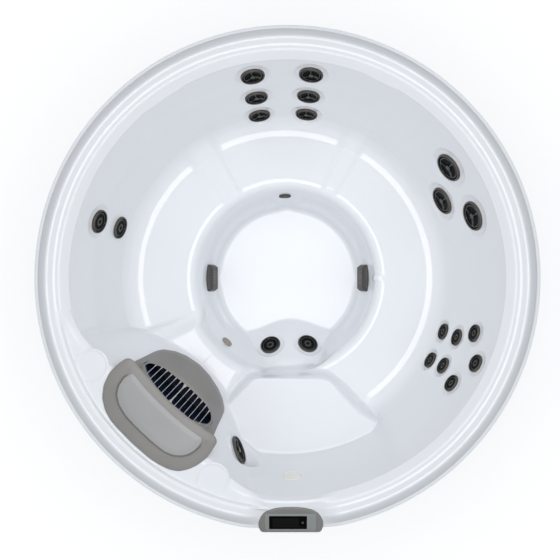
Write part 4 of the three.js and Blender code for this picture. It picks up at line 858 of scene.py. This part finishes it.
def nozzle_disc(radius, low, high):
    """Directional nozzle: a shallow dish with a raised eye and a bore; the dish and the bore are painted black as
    their shade.
    """
    profile = [(0.05, 0.15), (0.2, 0.15), (0.26, 0.9), (0.34, 1.0), (0.42, 0.85), (0.5, 0.4), (0.62, 0.3),
               (0.8, 0.42), (0.92, 0.62), (0.99, 0.66), (1.0, 0.5), (1.0, 0.0), (0.5, 0.0)]
    return turned(rounded([(a * radius, low + b * (high - low)) for a, b in profile], 0.6, 60), 72)


# Inserts of the jets: their surface, its radius as a share of the ring's, and as shares of the flange's height
# the lowest level, the highest, and the one below which the faces are painted black as shade in the ports, the
# dish and the bore
ROTOR, NOZZLE = (rotor_disc, 0.78, 0.28, 0.8, 0.52), (nozzle_disc, 0.76, 0.24, 0.72, 0.5)
RING_BRIM, PINS_AT = 0.862, 0.83


class HOTTUB_OT_jets(bpy.types.Operator):
    """Builds the jets: a ring for each face, a rotor or a nozzle inside it, and two small pins on the ring. The
    ring's inner faces and the insert's low faces are painted black as shade, and the pins are pale as painted
    glints.
    """

    bl_idname = "hot_tub.jets"
    bl_label = "Jets"

    def execute(self, context):
        looks, flange = context.scene.hot_tub_looks, context.scene.hot_tub_sizes.jet_flange / MM
        fine = {"grain": 1200.0, "depth": 0.0002}
        pewter = finish("Dark Pewter", looks.pewter, 0.36, metallic=0.35, grain=1500.0, bump=0.08, depth=0.0002)
        # Black: partly the jets' dark plastic, partly painted shade in their hollows
        black = finish("Jet Black And Painted Shade", (0.006, 0.008, 0.008), 0.4, ior=1.12, **fine)
        spoke = finish("Spoke Grey", (0.042, 0.042, 0.038), 0.35, **fine)
        painted_glint = finish("Pin Painted Glint", (0.62, 0.6, 0.57), 0.2, metallic=0.9, grain=1500.0, bump=0.02)
        moving = {joint["child"] for joint in frame["joints"]}
        for name, centre, axis, radius in jet_places():
            place, face, spinner = frame_at(centre, axis), f"{name}_face", f"{name}_spinner"
            local = jet_ring(radius, flange)
            ring = add_piece(f"{name}_ring", body_at(local, place, wrap_rows=True), pewter, face,
                             [name], sharp=50)
            # The ring's faces inside its brim are painted black, as the shade of the gap round the insert
            mark_faces(ring, black, between(np.hypot(local[..., 0], local[..., 1]) < RING_BRIM * radius))
            spins = spinner in moving
            surface, reach, low, high, shade_level = ROTOR if spins else NOZZLE
            local = surface(radius * reach, flange * low, flange * high)
            insert = add_piece(f"{name}_insert", body_at(local, place), black, spinner if spins else face,
                               [f"{name}_rotor"] if spins else [], sharp=40)
            # Faces below the shade level are painted black as shade in the ports, dish and bore; higher faces stay
            # grey
            mark_faces(insert, spoke, between(local[..., 2] > flange * shade_level))
            # Two pale metal pins on the ring, put where it shows a glint: painted highlights
            wide, slim = 0.035 * radius, 0.02 * radius
            pin = turned([(0, 0.0), (wide, 0.0), (wide, 1.6), (slim, 2.2), (0, 2.2)], 16)
            pins = [body_at(pin + np.array([0, side * PINS_AT * radius, 0.3 * flange]), place) for side in (1, -1)]
            add_piece(f"{name}_pins", merged(pins), painted_glint, face)
        return {"FINISHED"}


# Outlines of the filter lid and its raised panel (reach, offset), and the middle and scale for their rays
LID_EDGE = [(650, -239), (644, -218), (654, -129), (666, -11), (661, 90), (647, 184), (641, 212), (651, 238),
            (718, 251), (770, 244), (808, 229), (840, 206), (861, 172), (874, 128), (881, 84), (884, 0),
            (881, -76), (877, -120), (862, -166), (834, -208), (793, -238), (746, -253), (702, -253), (669, -248)]
LID_PANEL = [(681, -183), (692, -110), (696, -37), (696, 40), (691, 120), (681, 184), (708, 193), (735, 192),
             (760, 185), (782, 170), (802, 146), (815, 110), (820, 50), (820, -27), (816, -90), (803, -137),
             (782, -170), (752, -188), (714, -194)]
LID_MIDDLE, LID_SCALE = np.array([765.0, -2.0]), np.array([110.0, 250.0])
LID_FOOT, LID_SHOULDER, LID_TOP = 868.4, 869, 888
LID_FOLDS = ((673, -200), (672, 199))
# Underside of the lid: shares of the way out from its middle, and levels
LID_UNDERSIDE = ((0.985, 868.4), (0.975, 869.5), (0.96, 874.0), (0.5, 874.0))


def inside_distance(points, outline):
    """Distance of points to a closed outline, positive inside it."""
    flat = points.reshape(-1, 2)
    best = np.full(len(flat), 1e9)
    inside = np.zeros(len(flat), bool)
    for p, q in zip(outline, np.roll(outline, -1, 0)):
        d = q - p
        t = np.clip(((flat - p) @ d) / (d @ d), 0, 1)
        best = np.minimum(best, np.linalg.norm(flat - p - t[:, None] * d, axis=1))
        crosses = (p[1] > flat[:, 1]) != (q[1] > flat[:, 1])
        span = q[1] - p[1] if abs(q[1] - p[1]) > 1e-9 else 1e-9
        inside ^= crosses & (flat[:, 0] < p[0] + (flat[:, 1] - p[1]) * d[0] / span)
    return np.where(inside, best, -best).reshape(points.shape[:-1])


def around(outline, centre, scale, count):
    """Points of a closed outline at even angles about a centre, where both axes are first divided by the scale."""
    p = (np.asarray(outline, float) - centre) / scale
    angle, reach = np.arctan2(p[:, 1], p[:, 0]), np.hypot(p[:, 0], p[:, 1])
    order = np.argsort(angle)
    angle, reach = angle[order], reach[order]
    wrapped = np.concatenate([angle - 2 * np.pi, angle, angle + 2 * np.pi])
    even = np.linspace(-np.pi, np.pi, count, endpoint=False)
    r = np.interp(even, wrapped, np.tile(reach, 3))
    return centre + np.stack([r * np.cos(even), r * np.sin(even)], -1) * scale


def hump(distance, width):
    """Bell curve: exp(-(distance / width)^2)."""
    return np.exp(-(distance / width) ** 2)


def lid_body():
    """Filter lid: rays from its middle to its edge, and which rings lie on the raised panel.

    The height comes from the distance to the edge and to the panel: the panel swells to its middle, a groove and
    a bead run round it on all but its inner side, and the flange falls off to a rounded edge."""
    edge, panel = (around(rounded(line, radius, 900, closed=True), LID_MIDDLE, LID_SCALE, 400)
                   for line, radius in ((LID_EDGE, 16), (LID_PANEL, 12)))
    share = np.concatenate([np.linspace(0.03, 0.8, 26), np.linspace(0.8, 1, 32)[1:]])
    inner = LID_MIDDLE + (panel - LID_MIDDLE) * share[:, None, None]
    share = np.concatenate([np.linspace(0, 0.45, 34)[1:], np.linspace(0.45, 1, 40)[1:]])
    plan = np.concatenate([inner, panel + (edge - panel) * share[:, None, None]])
    reach, offset = plan[..., 0], plan[..., 1]
    rim, deep = np.maximum(inside_distance(plan, edge[::2]), 0), inside_distance(plan, panel[::2])
    shoulder = np.sqrt(np.clip(1 - (1 - np.clip(rim / 50, 0, 1)) ** 2, 0, 1)) ** 0.8
    moulding = -6.0 * hump(deep + 6.5, 2.3) + 1.6 * hump(deep + 12.5, 3.4) + 0.8 * hump(deep + 1.0, 2.6)
    swell = 1.6 * ease((deep + 2) / 6) + 2.6 * ease(deep / 20)
    folds = sum(hump(reach - r, 15) * hump(offset - o, 9) for r, o in LID_FOLDS)
    z = LID_SHOULDER + 13 * shoulder + moulding * ease((reach - 688) / 24) + swell + 3.0 * folds * ease(rim / 12)
    z = np.minimum(z, LID_TOP)
    z[-1] = LID_FOOT
    share, level = np.transpose(LID_UNDERSIDE)[:, :, None]
    under = LID_MIDDLE + (edge - LID_MIDDLE) * share[..., None]
    rings = np.concatenate([from_block(reach, offset, z), from_block(under[..., 0], under[..., 1], level)])
    return rings * MM, len(inner) + 1


class HOTTUB_OT_lid(bpy.types.Operator):
    """Builds the filter lid: a flange round a lighter raised panel; the flange's darker taupe is partly its own
    colour and partly painted shade of its slope.
    """

    bl_idname = "hot_tub.lid"
    bl_label = "Filter Lid"

    def execute(self, context):
        looks = context.scene.hot_tub_looks
        light = finish("Lid Grey", looks.lid_grey, 0.42, grain=1100.0, bump=0.12, depth=0.0003)
        # Darker flange: partly its own taupe, partly painted shade of its slope
        taupe = finish("Lid Taupe And Shade", looks.lid_taupe_and_shade, 0.42, grain=1100.0, bump=0.12, depth=0.0003)
        rings, panel_rings = lid_body()
        lid = add_piece("lid_top", closed_rings(rings), taupe, "lid", ["filter_lid"], sharp=60)
        rows, columns = rings.shape[:2]
        face, quads = np.arange(len(lid.data.polygons)), (rows - 1) * columns
        middle = (face >= quads) & (face < quads + columns)
        mark_faces(lid, light, (face < panel_rings * columns) | middle)
        return {"FINISHED"}


# Outlines of the skimmer housing and of the opening for its grille (reach, offset)
NOSE = [(736, -238), (712, -238), (660, -215), (629, -203), (601, -183), (571, -139), (551, -86), (541, -22),
        (545, 43), (561, 109), (582, 157), (606, 190), (620, 200), (660, 214), (714, 236), (736, 236)]
OPENING = [(645, -180), (631, -172), (622, -150), (613, -111), (609, -44), (606, 9), (606, 64), (608, 115),
           (616, 150), (630, 170), (645, 171), (655, 150), (668, 100), (672, 3), (670, -60), (664, -105),
           (655, -155)]
NOSE_MIDDLE, NOSE_SCALE = np.array([648.0, 0.0]), np.array([100.0, 235.0])
OPENING_MIDDLE, OPENING_SCALE = np.array([640.0, -3.0]), np.array([33.0, 175.0])
# The slanted face of the grille: its reach and level at the lower edge, how steep it is, and its highest level
FACE_REACH, FACE_LEVEL, FACE_SLOPE, FACE_TOP = 606, 712, 2.35, 858
# How far the face has risen at shares of the way in from the nose's outline: a skirt, the slope and a flatter lip
NOSE_RISE = [(0, 0), (0.03, 0.06), (0.07, 0.12), (0.74, 0.90), (0.79, 0.95), (0.84, 0.975), (1, 1)]
WATER_FLOOR, WATER_DROP = 610.0, 10


def face_height(reach):
    """Height of the slanted face that the grille lies in: a straight line over the reach."""
    return FACE_LEVEL + FACE_SLOPE * (reach - FACE_REACH)


def opening_line(count):
    """Outline of the grille's opening at even angles, and its height up to the face's highest level."""
    line = around(rounded(OPENING, 8, 900, closed=True), OPENING_MIDDLE, OPENING_SCALE, count)
    return line, np.minimum(face_height(line[:, 0]), FACE_TOP)


def housing_rings():
    """Skimmer housing: rings from the nose's outline to the opening, up a skirt, over the slope and a flatter lip,
    down the opening's edge and back underneath."""
    nose = rounded(resampled(NOSE, 300, closed=True), 10, 900, closed=True)
    nose = around(nose, NOSE_MIDDLE, NOSE_SCALE, 420)
    hole, top = opening_line(420)
    edge = from_block(nose[:, 0], nose[:, 1], 0)
    seat = np.clip(block_height(edge[:, 0], edge[:, 1]) + 4, 588, 861)
    rings = [(nose, seat - 70), (nose, seat - 6)]
    for share in np.linspace(0, 1, 46):
        rings.append((mix(nose, hole, share), mix(seat, top, np.interp(share, *np.transpose(NOSE_RISE)))))
    for grow, drop in ((0.995, 0.8), (0.99, 3), (0.985, 16), (1.03, 20)):
        rings.append((OPENING_MIDDLE + (hole - OPENING_MIDDLE) * grow, top - drop))
    return np.stack([from_block(plan[:, 0], plan[:, 1], z) for plan, z in rings]) * MM


def water_way():
    """Recess behind the grille: an open box that follows the opening, painted near-black navy as the shade inside
    the skimmer's mouth.
    """
    hole, top = opening_line(240)
    rings = []
    for grow, level in ((0.02, 0.0), (0.6, 0.0), (1.0, 0.0), (1.01, 0.1), (1.02, 0.6), (1.02, 1.0), (1.05, 1.0),
                        (1.06, 0.0), (1.06, -0.1), (0.5, -0.1)):
        plan = OPENING_MIDDLE + (hole - OPENING_MIDDLE) * grow
        rings.append(from_block(plan[:, 0], plan[:, 1], mix(WATER_FLOOR, top - WATER_DROP, level)))
    return np.stack(rings) * MM


BARS, BAR_PITCH, BAR_SHIFT, BAR_DEPTH = 13, 23.8, -4, 14
# Shares of a bar's length, and half widths there of the slim bars and of the stout middle one
BAR_STOPS = np.array([0, 0.06, 0.13, 0.2, 0.3, 0.6, 0.9, 0.96, 1.0])
SLIM_BAR = 1.15 * np.array([3.8, 2.7, 1.9, 1.3, 1, 1, 1, 1.3, 1.8])
STOUT_BAR = 2.2 * np.array([5.5, 3.6, 2.2, 1.4, 1, 1, 1.5, 2.6, 4.2])


def grille_bars():
    """Bars of the grille: blades down the slanted opening that widen at its edges; the middle one is stouter."""
    parts = []
    line = rounded(OPENING, 8, 900, closed=True)
    corners = np.array([[-1, 0], [1, 0], [1, -BAR_DEPTH], [-1, -BAR_DEPTH]], float)
    for k in range(BARS):
        offset = (k - (BARS - 1) / 2) * BAR_PITCH + BAR_SHIFT
        near = line[np.abs(line[:, 1] - offset) < 3]
        reach = mix(near[:, 0].min() - 1.5, min(near[:, 0].max(), 668.0) + 1.5, BAR_STOPS)
        width = STOUT_BAR if k == BARS // 2 else SLIM_BAR
        z = face_height(reach) - 1.5
        rings = from_block(reach[:, None], offset + width[:, None] * corners[:, 0], z[:, None] + corners[:, 1])
        parts.append(closed_rings(rings * MM))
    return merged(parts)


def skimmer_finish(looks):
    """Grained grey plastic of the skimmer housing and the filter bucket."""
    return finish("Skimmer Grey", looks.skimmer_grey, 0.5, grain=1100.0, bump=0.12, depth=0.0003)


class HOTTUB_OT_skimmer(bpy.types.Operator):
    """Builds the skimmer housing, its grille bars and the water way behind them, painted near-black as the shade
    in the mouth.
    """

    bl_idname = "hot_tub.skimmer"
    bl_label = "Skimmer Housing"

    def execute(self, context):
        grey = skimmer_finish(context.scene.hot_tub_looks)
        # Near-black navy: painted shade of the recess behind the grille
        navy_shade = finish("Navy Painted Shade", (0.006, 0.012, 0.034), 0.3, grain=400.0, ior=1.2)
        pale = finish("Bar Grey", (0.5, 0.49, 0.47), 0.45)
        add_piece("housing_nose", closed_rings(housing_rings(), wrap_rows=True), grey, "tub",
                  ["skimmer_housing"], sharp=45)
        add_piece("water_way", closed_rings(water_way()), navy_shade, "tub", sharp=45)
        add_piece("grille_bars", grille_bars(), pale, "tub")
        return {"FINISHED"}


PANEL_MIDDLE, PANEL_TILT, PANEL_LIFT = np.array([PANEL_X, -947.0, 864.0]), math.radians(20), -8.7


def panel_place():
    """Frame of the control panel: X to the right, Y up the slope, Z out of it."""
    up = np.array([0, math.cos(PANEL_TILT), math.sin(PANEL_TILT)])
    out = np.array([0, -math.sin(PANEL_TILT), math.cos(PANEL_TILT)])
    return PANEL_MIDDLE + PANEL_LIFT * out, np.stack([np.array([1.0, 0, 0]), up, out])


def soft_box(width, length, radius, x, y, levels, place, count=120):
    """Body over a rounded rectangle about (x, y), with an inset and a height for each level."""
    w, h = width / 2, length / 2
    outline = rounded([(w, -h), (w, h), (-w, h), (-w, -h)], radius, count, closed=True) + np.array([x, y])
    return body_at(outline_rings(outline, levels), place)


# Right half of the bezel's outline, and its (inset, height) levels
BEZEL = [(0, -59), (113, -59), (122, -50), (127, -30), (126.5, -8), (119, 14), (105, 33), (83, 47.5), (55, 55.5),
         (30, 58.5), (0, 59.5)]
BEZEL_LEVELS = [(3, 0.2), (0.6, 0.6), (0, 2), (0.4, 4.5), (2.2, 7.0), (5, 8.3), (9, 8.7), (14, 8.8), (20, 8.6)]
# Boxes on the bezel: width, length, corner radius, middle (x, y), and (inset, height) levels
PLATE = (199, 81, 14, -1.5, -8.5, [(0.8, 6), (0, 8.6), (0, 9.2), (1, 9.6)])
WINDOW = (148, 62, 3, -11, -8.7, [(0, 9), (0, 9.7), (0.5, 10.0)])
DISPLAY = (104, 43, 2, -19.5, -9, [(0, 9.6), (0, 10.1)])
SENSOR = (9, 9, 5, 46.5, -9, [(0, 9.6), (0, 10.1)])


class HOTTUB_OT_panel(bpy.types.Operator):
    """Builds the control panel: bezel, plate, dark window, display and sensor."""

    bl_idname = "hot_tub.panel"
    bl_label = "Control Panel"

    def execute(self, context):
        grey = finish("Bezel Grey", (0.222, 0.217, 0.209), 0.42, bump=0.06, depth=0.0003)
        green = finish("Plate Grey Green", (0.29, 0.305, 0.295), 0.45)
        black = finish("Window Black", (0.002, 0.002, 0.002), 0.3, grain=300.0, bump=0.01, ior=1.08)
        glass = finish("Display Dark", (0.009, 0.009, 0.009), 0.3, grain=300.0, bump=0.01, ior=1.08)
        dot = finish("Sensor Grey", (0.04, 0.04, 0.04), 0.2, grain=300.0)
        place, half = panel_place(), np.asarray(BEZEL, float)
        outline = rounded(np.vstack([half, half[-2:0:-1] * np.array([-1, 1])]), 8, 200, closed=True)
        bezel = body_at(outline_rings(outline, BEZEL_LEVELS), place)
        add_piece("bezel_frame", bezel, grey, "tub", ["control_bezel"], sharp=50)
        add_piece("panel_plate", soft_box(*PLATE, place), green, "tub", ["control_plate"], sharp=50)
        add_piece("panel_window", soft_box(*WINDOW, place), black, "tub", ["control_screen"], sharp=50)
        add_piece("panel_display", soft_box(*DISPLAY, place), glass, "tub", sharp=50)
        add_piece("panel_sensor", soft_box(*SENSOR, place, count=40), dot, "tub")
        return {"FINISHED"}


# Suction covers: level of their middles, radii of the foot wall at its foot and head, its set back and its climb
SUCTION_LEVEL, SUCTION_RADII, WALL_SET_BACK, WALL_CLIMB = 170.0, (357, 398), 50, 219.7
SUCTION_LEVELS = [(0, 2), (0, 9), (3, 16), (10, 25), (15, 28.4), (20, 28.8), (26, 27.2), (30, 27)]
SUCTION_COVER = (131, 106, 22, 0, 0, SUCTION_LEVELS)
SUCTION_STUD = [(0, 26.8), (2.4, 26.8), (2.2, 27.7), (0, 27.9)]


def suction_place(side):
    """Place of the suction cover on the right (1) or left (-1) of the foot wall, leaning back with it."""
    lean = math.atan2(WALL_SET_BACK, WALL_CLIMB)
    radius = mix(*SUCTION_RADII, (SUCTION_LEVEL - FLOOR) / WALL_CLIMB)
    return frame_at([side * radius, 0, SUCTION_LEVEL], [-side * math.cos(lean), 0, math.sin(lean)])


def node_place(name, lean):
    """Place in the middle of a CAD node, facing the middle of the tub and leaning back by an angle."""
    low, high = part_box(name)
    centre = np.array((low + high) / 2) / MM
    axis = -centre * np.array([1, 1, 0])
    axis *= math.cos(lean) / np.linalg.norm(axis)
    return frame_at(centre, axis + np.array([0, 0, math.sin(lean)]))


def fitting_rings(radius):
    """Round fitting: a rim rounded over, a groove inside it and a low dome."""
    shares = [(1, 2.5), (0.95, 6.0), (0.86, 7.4), (0.79, 6.4), (0.74, 4.2), (0.66, 4.6)]
    line = [(0.01, -4), (radius, -4), *((share * radius, height) for share, height in shares), (0.01, 6.4)]
    return turned(rounded(line, 1.2, 60), 80)


class HOTTUB_OT_fittings(bpy.types.Operator):
    """Builds the suction covers, the two small round fittings and the light lens."""

    bl_idname = "hot_tub.fittings"
    bl_label = "Fittings"

    def execute(self, context):
        dark = finish("Cover Grey", (0.055, 0.052, 0.05), 0.45, grain=800.0, bump=0.1)
        warm = finish("Warm Grey", (0.3, 0.26, 0.22), 0.4, grain=800.0, bump=0.06)
        cream = finish("Lens Cream", (0.86, 0.84, 0.8), 0.3, grain=500.0, bump=0.04)
        stud = turned(SUCTION_STUD, 10)
        for side, turn in (("right", 1), ("left", -1)):
            place = suction_place(turn)
            add_piece(f"suction_{side}_cover", soft_box(*SUCTION_COVER, place, count=160), dark, "tub",
                      [f"suction_cover_{side}"], sharp=40)
            studs = [body_at(stud + np.array([across, up, 0]), place)
                     for across in np.linspace(-30, 30, 9) for up in np.linspace(-20, 20, 6)]
            add_piece(f"suction_{side}_studs", merged(studs), warm, "tub")
        for name, material, slot, radius, lean in (("return_fitting", dark, "fitting_warm", 29.0, 0.03),
                                                   ("ozone_fitting", warm, "fitting_warm", 26.5, 0.2),
                                                   ("light_lens", cream, "lens", 39.5, 0.24)):
            body = body_at(fitting_rings(radius), node_place(name, lean))
            add_piece(f"{name}_face", body, material, "tub", [name], sharp=50)
        return {"FINISHED"}


def board_material():
    """Cabinet boards: upright wood grain pressed in grey-brown plastic, from noise stretched along Z."""
    material = finish("Grained Boards", (0.12, 0.105, 0.095), 0.62, grain=300.0, bump=0.3, depth=0.001, vary=0.2)
    nodes, links = material.node_tree.nodes, material.node_tree.links
    place = nodes.new("ShaderNodeTexCoord")
    scale = set_inputs(nodes.new("ShaderNodeMapping"), Scale=(1.0, 1.0, 0.05))
    noise = set_inputs(nodes.new("ShaderNodeTexNoise"), Scale=60, Detail=6)
    ramp = nodes.new("ShaderNodeValToRGB")
    dark, light = ramp.color_ramp.elements
    dark.position, dark.color = 0.35, (0.075, 0.062, 0.055, 1)
    light.position, light.color = 0.68, (0.17, 0.15, 0.135, 1)
    bump = next(node for node in nodes if node.type == "BUMP")
    wire(links, (place, "Object", scale, "Vector"), (scale, "Vector", noise, "Vector"),
         (noise, "Fac", ramp, "Fac"), (ramp, "Color", nodes["Principled BSDF"], "Base Color"),
         (noise, "Fac", bump, "Height"))
    return material


class HOTTUB_OT_carried(bpy.types.Operator):
    """Gives the pieces that keep their own solids their finishes."""

    bl_idname = "hot_tub.carried"
    bl_label = "Carried Pieces"

    def execute(self, context):
        black = finish("Pan Black", (0.025, 0.025, 0.025), 0.6, grain=500.0, bump=0.2, depth=0.0006)
        pipe = finish("Pipe White", (0.68, 0.68, 0.66), 0.4, grain=600.0)
        looks = {
            "cabinet_panel": board_material(),
            "cabinet_post": finish("Pine", (0.42, 0.27, 0.13), 0.7, grain=200.0, bump=0.2, vary=0.2, tone=20),
            "base_pan": black, "pump_wet_end": black, "drain_valve": black,
            "plumbing_manifold": pipe, "suction_pipe": pipe,
            "heater": finish("Heater Steel", (0.55, 0.55, 0.57), 0.28, metallic=1.0),
            "pump_motor": finish("Motor Enamel", (0.05, 0.055, 0.07), 0.4, grain=700.0, bump=0.1),
            "control_box": finish("Box Grey", (0.17, 0.18, 0.2), 0.55, grain=700.0, bump=0.1),
            "filter_cartridge": finish("Filter Cloth", (0.72, 0.75, 0.8), 0.9, bump=0.4, depth=0.001),
            "filter_bucket": skimmer_finish(context.scene.hot_tub_looks)}
        for name, node in frame["nodes"].items():
            material = looks.get(name) or looks.get(name.rpartition("_")[0])
            if material and not node.hide_render:
                node.data.materials.clear()
                node.data.materials.append(material)
        return {"FINISHED"}


PICTURE_WIDTH = 560


def camera_ray_mix(nodes, links, plain, shown, output):
    """Gives an output one shader for camera, glossy and transmission rays, and a plain one for all else."""
    path, blend = nodes.new("ShaderNodeLightPath"), nodes.new("ShaderNodeMixShader")
    first, second = nodes.new("ShaderNodeMath"), nodes.new("ShaderNodeMath")
    first.operation = second.operation = "MAXIMUM"
    wire(links, (path, "Is Camera Ray", first, 0), (path, "Is Glossy Ray", first, 1), (first, 0, second, 0),
         (path, "Is Transmission Ray", second, 1), (second, 0, blend, "Fac"), (plain, 0, blend, 1),
         (shown, 0, blend, 2), (blend, 0, output, "Surface"))


def disk_lamp(name, size, power, height):
    """Round soft light over the middle of the tub, facing down."""
    lamp = bpy.data.lights.new(name, "AREA")
    lamp.shape, lamp.size, lamp.energy = "DISK", size, power
    return scene_object(name, lamp, height)


def surroundings(sky_level):
    """World: a pale blue sky whose strength grows with the height of the direction, shown as white."""
    world = bpy.data.worlds.new("surroundings")
    world.use_nodes = True
    nodes, links = world.node_tree.nodes, world.node_tree.links
    nodes.clear()
    place, split = nodes.new("ShaderNodeTexCoord"), nodes.new("ShaderNodeSeparateXYZ")
    span = set_inputs(nodes.new("ShaderNodeMapRange"), From_Min=0.2, From_Max=0.7, To_Min=0.0, To_Max=sky_level)
    plain = set_inputs(nodes.new("ShaderNodeBackground"), Color=(0.9, 0.95, 1.0, 1))
    shown = set_inputs(nodes.new("ShaderNodeBackground"), Color=(1, 1, 1, 1))
    wire(links, (place, "Generated", split, "Vector"), (split, "Z", span, "Value"),
         (span, "Result", plain, "Strength"))
    camera_ray_mix(nodes, links, plain, shown, nodes.new("ShaderNodeOutputWorld"))
    return world


def pale_floor():
    """Floor: plain grey under the light, shown nearly white with the tub's shadow on it."""
    mesh = bpy.data.meshes.new("floor")
    mesh.from_pydata([(-9, -9, 0), (9, -9, 0), (9, 9, 0), (-9, 9, 0)], [], [(0, 1, 2, 3)])
    material = bpy.data.materials.new("Pale Floor")
    material.use_nodes = True
    nodes, links = material.node_tree.nodes, material.node_tree.links
    plain = set_inputs(nodes["Principled BSDF"], Base_Color=(0.5, 0.5, 0.5, 1), Roughness=0.9)
    lit = set_inputs(nodes.new("ShaderNodeBsdfDiffuse"), Color=(0.8, 0.8, 0.8, 1))
    glow = set_inputs(nodes.new("ShaderNodeEmission"), Strength=0.54)
    shown = nodes.new("ShaderNodeAddShader")
    wire(links, (lit, 0, shown, 0), (glow, 0, shown, 1))
    camera_ray_mix(nodes, links, plain, shown, nodes["Material Output"])
    mesh.materials.append(material)
    return scene_object("floor", mesh)


class HOTTUB_OT_stage(bpy.types.Operator):
    """Sets the camera over the tub, the pale floor and the soft light."""

    bl_idname = "hot_tub.stage"
    bl_label = "Stage"

    def execute(self, context):
        scene, stage = context.scene, context.scene.hot_tub_stage
        scene.view_settings.view_transform = "Standard"
        camera = bpy.data.cameras.new("camera")
        camera.lens, camera.sensor_width, camera.clip_end = stage.lens, 36, 60
        camera.shift_x, camera.shift_y = -7.5 / PICTURE_WIDTH, -2 / PICTURE_WIDTH
        scene.camera = scene_object("camera", camera, scene.hot_tub_sizes.height + stage.camera_height)
        disk_lamp("overhead", 1.75, stage.lamp_power, 5.4)
        fill = disk_lamp("fill", 1.0, stage.fill_power, 1.9)
        fill.visible_glossy = fill.visible_camera = False
        scene.world = surroundings(stage.sky_level)
        pale_floor()
        return {"FINISHED"}


class HOTTUB_PT_sidebar(bpy.types.Panel):
    """Lists the pieces of the hot tub."""

    bl_label = "Hot Tub"
    bl_idname = "HOTTUB_PT_sidebar"
    bl_space_type = "VIEW_3D"
    bl_region_type = "UI"
    bl_category = "Hot Tub"

    def draw(self, context):
        for settings in (context.scene.hot_tub_sizes, context.scene.hot_tub_looks, context.scene.hot_tub_stage):
            for key in settings.__annotations__:
                self.layout.prop(settings, key)
        for operator in OPERATORS:
            self.layout.operator(operator.bl_idname)


OPERATORS = (HOTTUB_OT_stage, HOTTUB_OT_shell, HOTTUB_OT_jets, HOTTUB_OT_lid, HOTTUB_OT_skimmer, HOTTUB_OT_panel,
             HOTTUB_OT_fittings, HOTTUB_OT_carried)
CLASSES = (HotTubSizes, HotTubLooks, HotTubStage, *OPERATORS, HOTTUB_PT_sidebar)


def register():
    """Registers the classes and their settings."""
    for cls in CLASSES:
        bpy.utils.register_class(cls)
    bpy.types.Scene.hot_tub_sizes = bpy.props.PointerProperty(type=HotTubSizes)
    bpy.types.Scene.hot_tub_looks = bpy.props.PointerProperty(type=HotTubLooks)
    bpy.types.Scene.hot_tub_stage = bpy.props.PointerProperty(type=HotTubStage)


def unregister():
    """Removes the settings and classes."""
    del bpy.types.Scene.hot_tub_stage, bpy.types.Scene.hot_tub_looks, bpy.types.Scene.hot_tub_sizes
    for cls in reversed(CLASSES):
        bpy.utils.unregister_class(cls)


def main():
    """Builds everything in order."""
    register()
    bpy.ops.hot_tub.stage()
    bpy.ops.hot_tub.shell()
    bpy.ops.hot_tub.jets()
    bpy.ops.hot_tub.lid()
    bpy.ops.hot_tub.skimmer()
    bpy.ops.hot_tub.panel()
    bpy.ops.hot_tub.fittings()
    bpy.ops.hot_tub.carried()


if __name__ == "__main__":
    main()
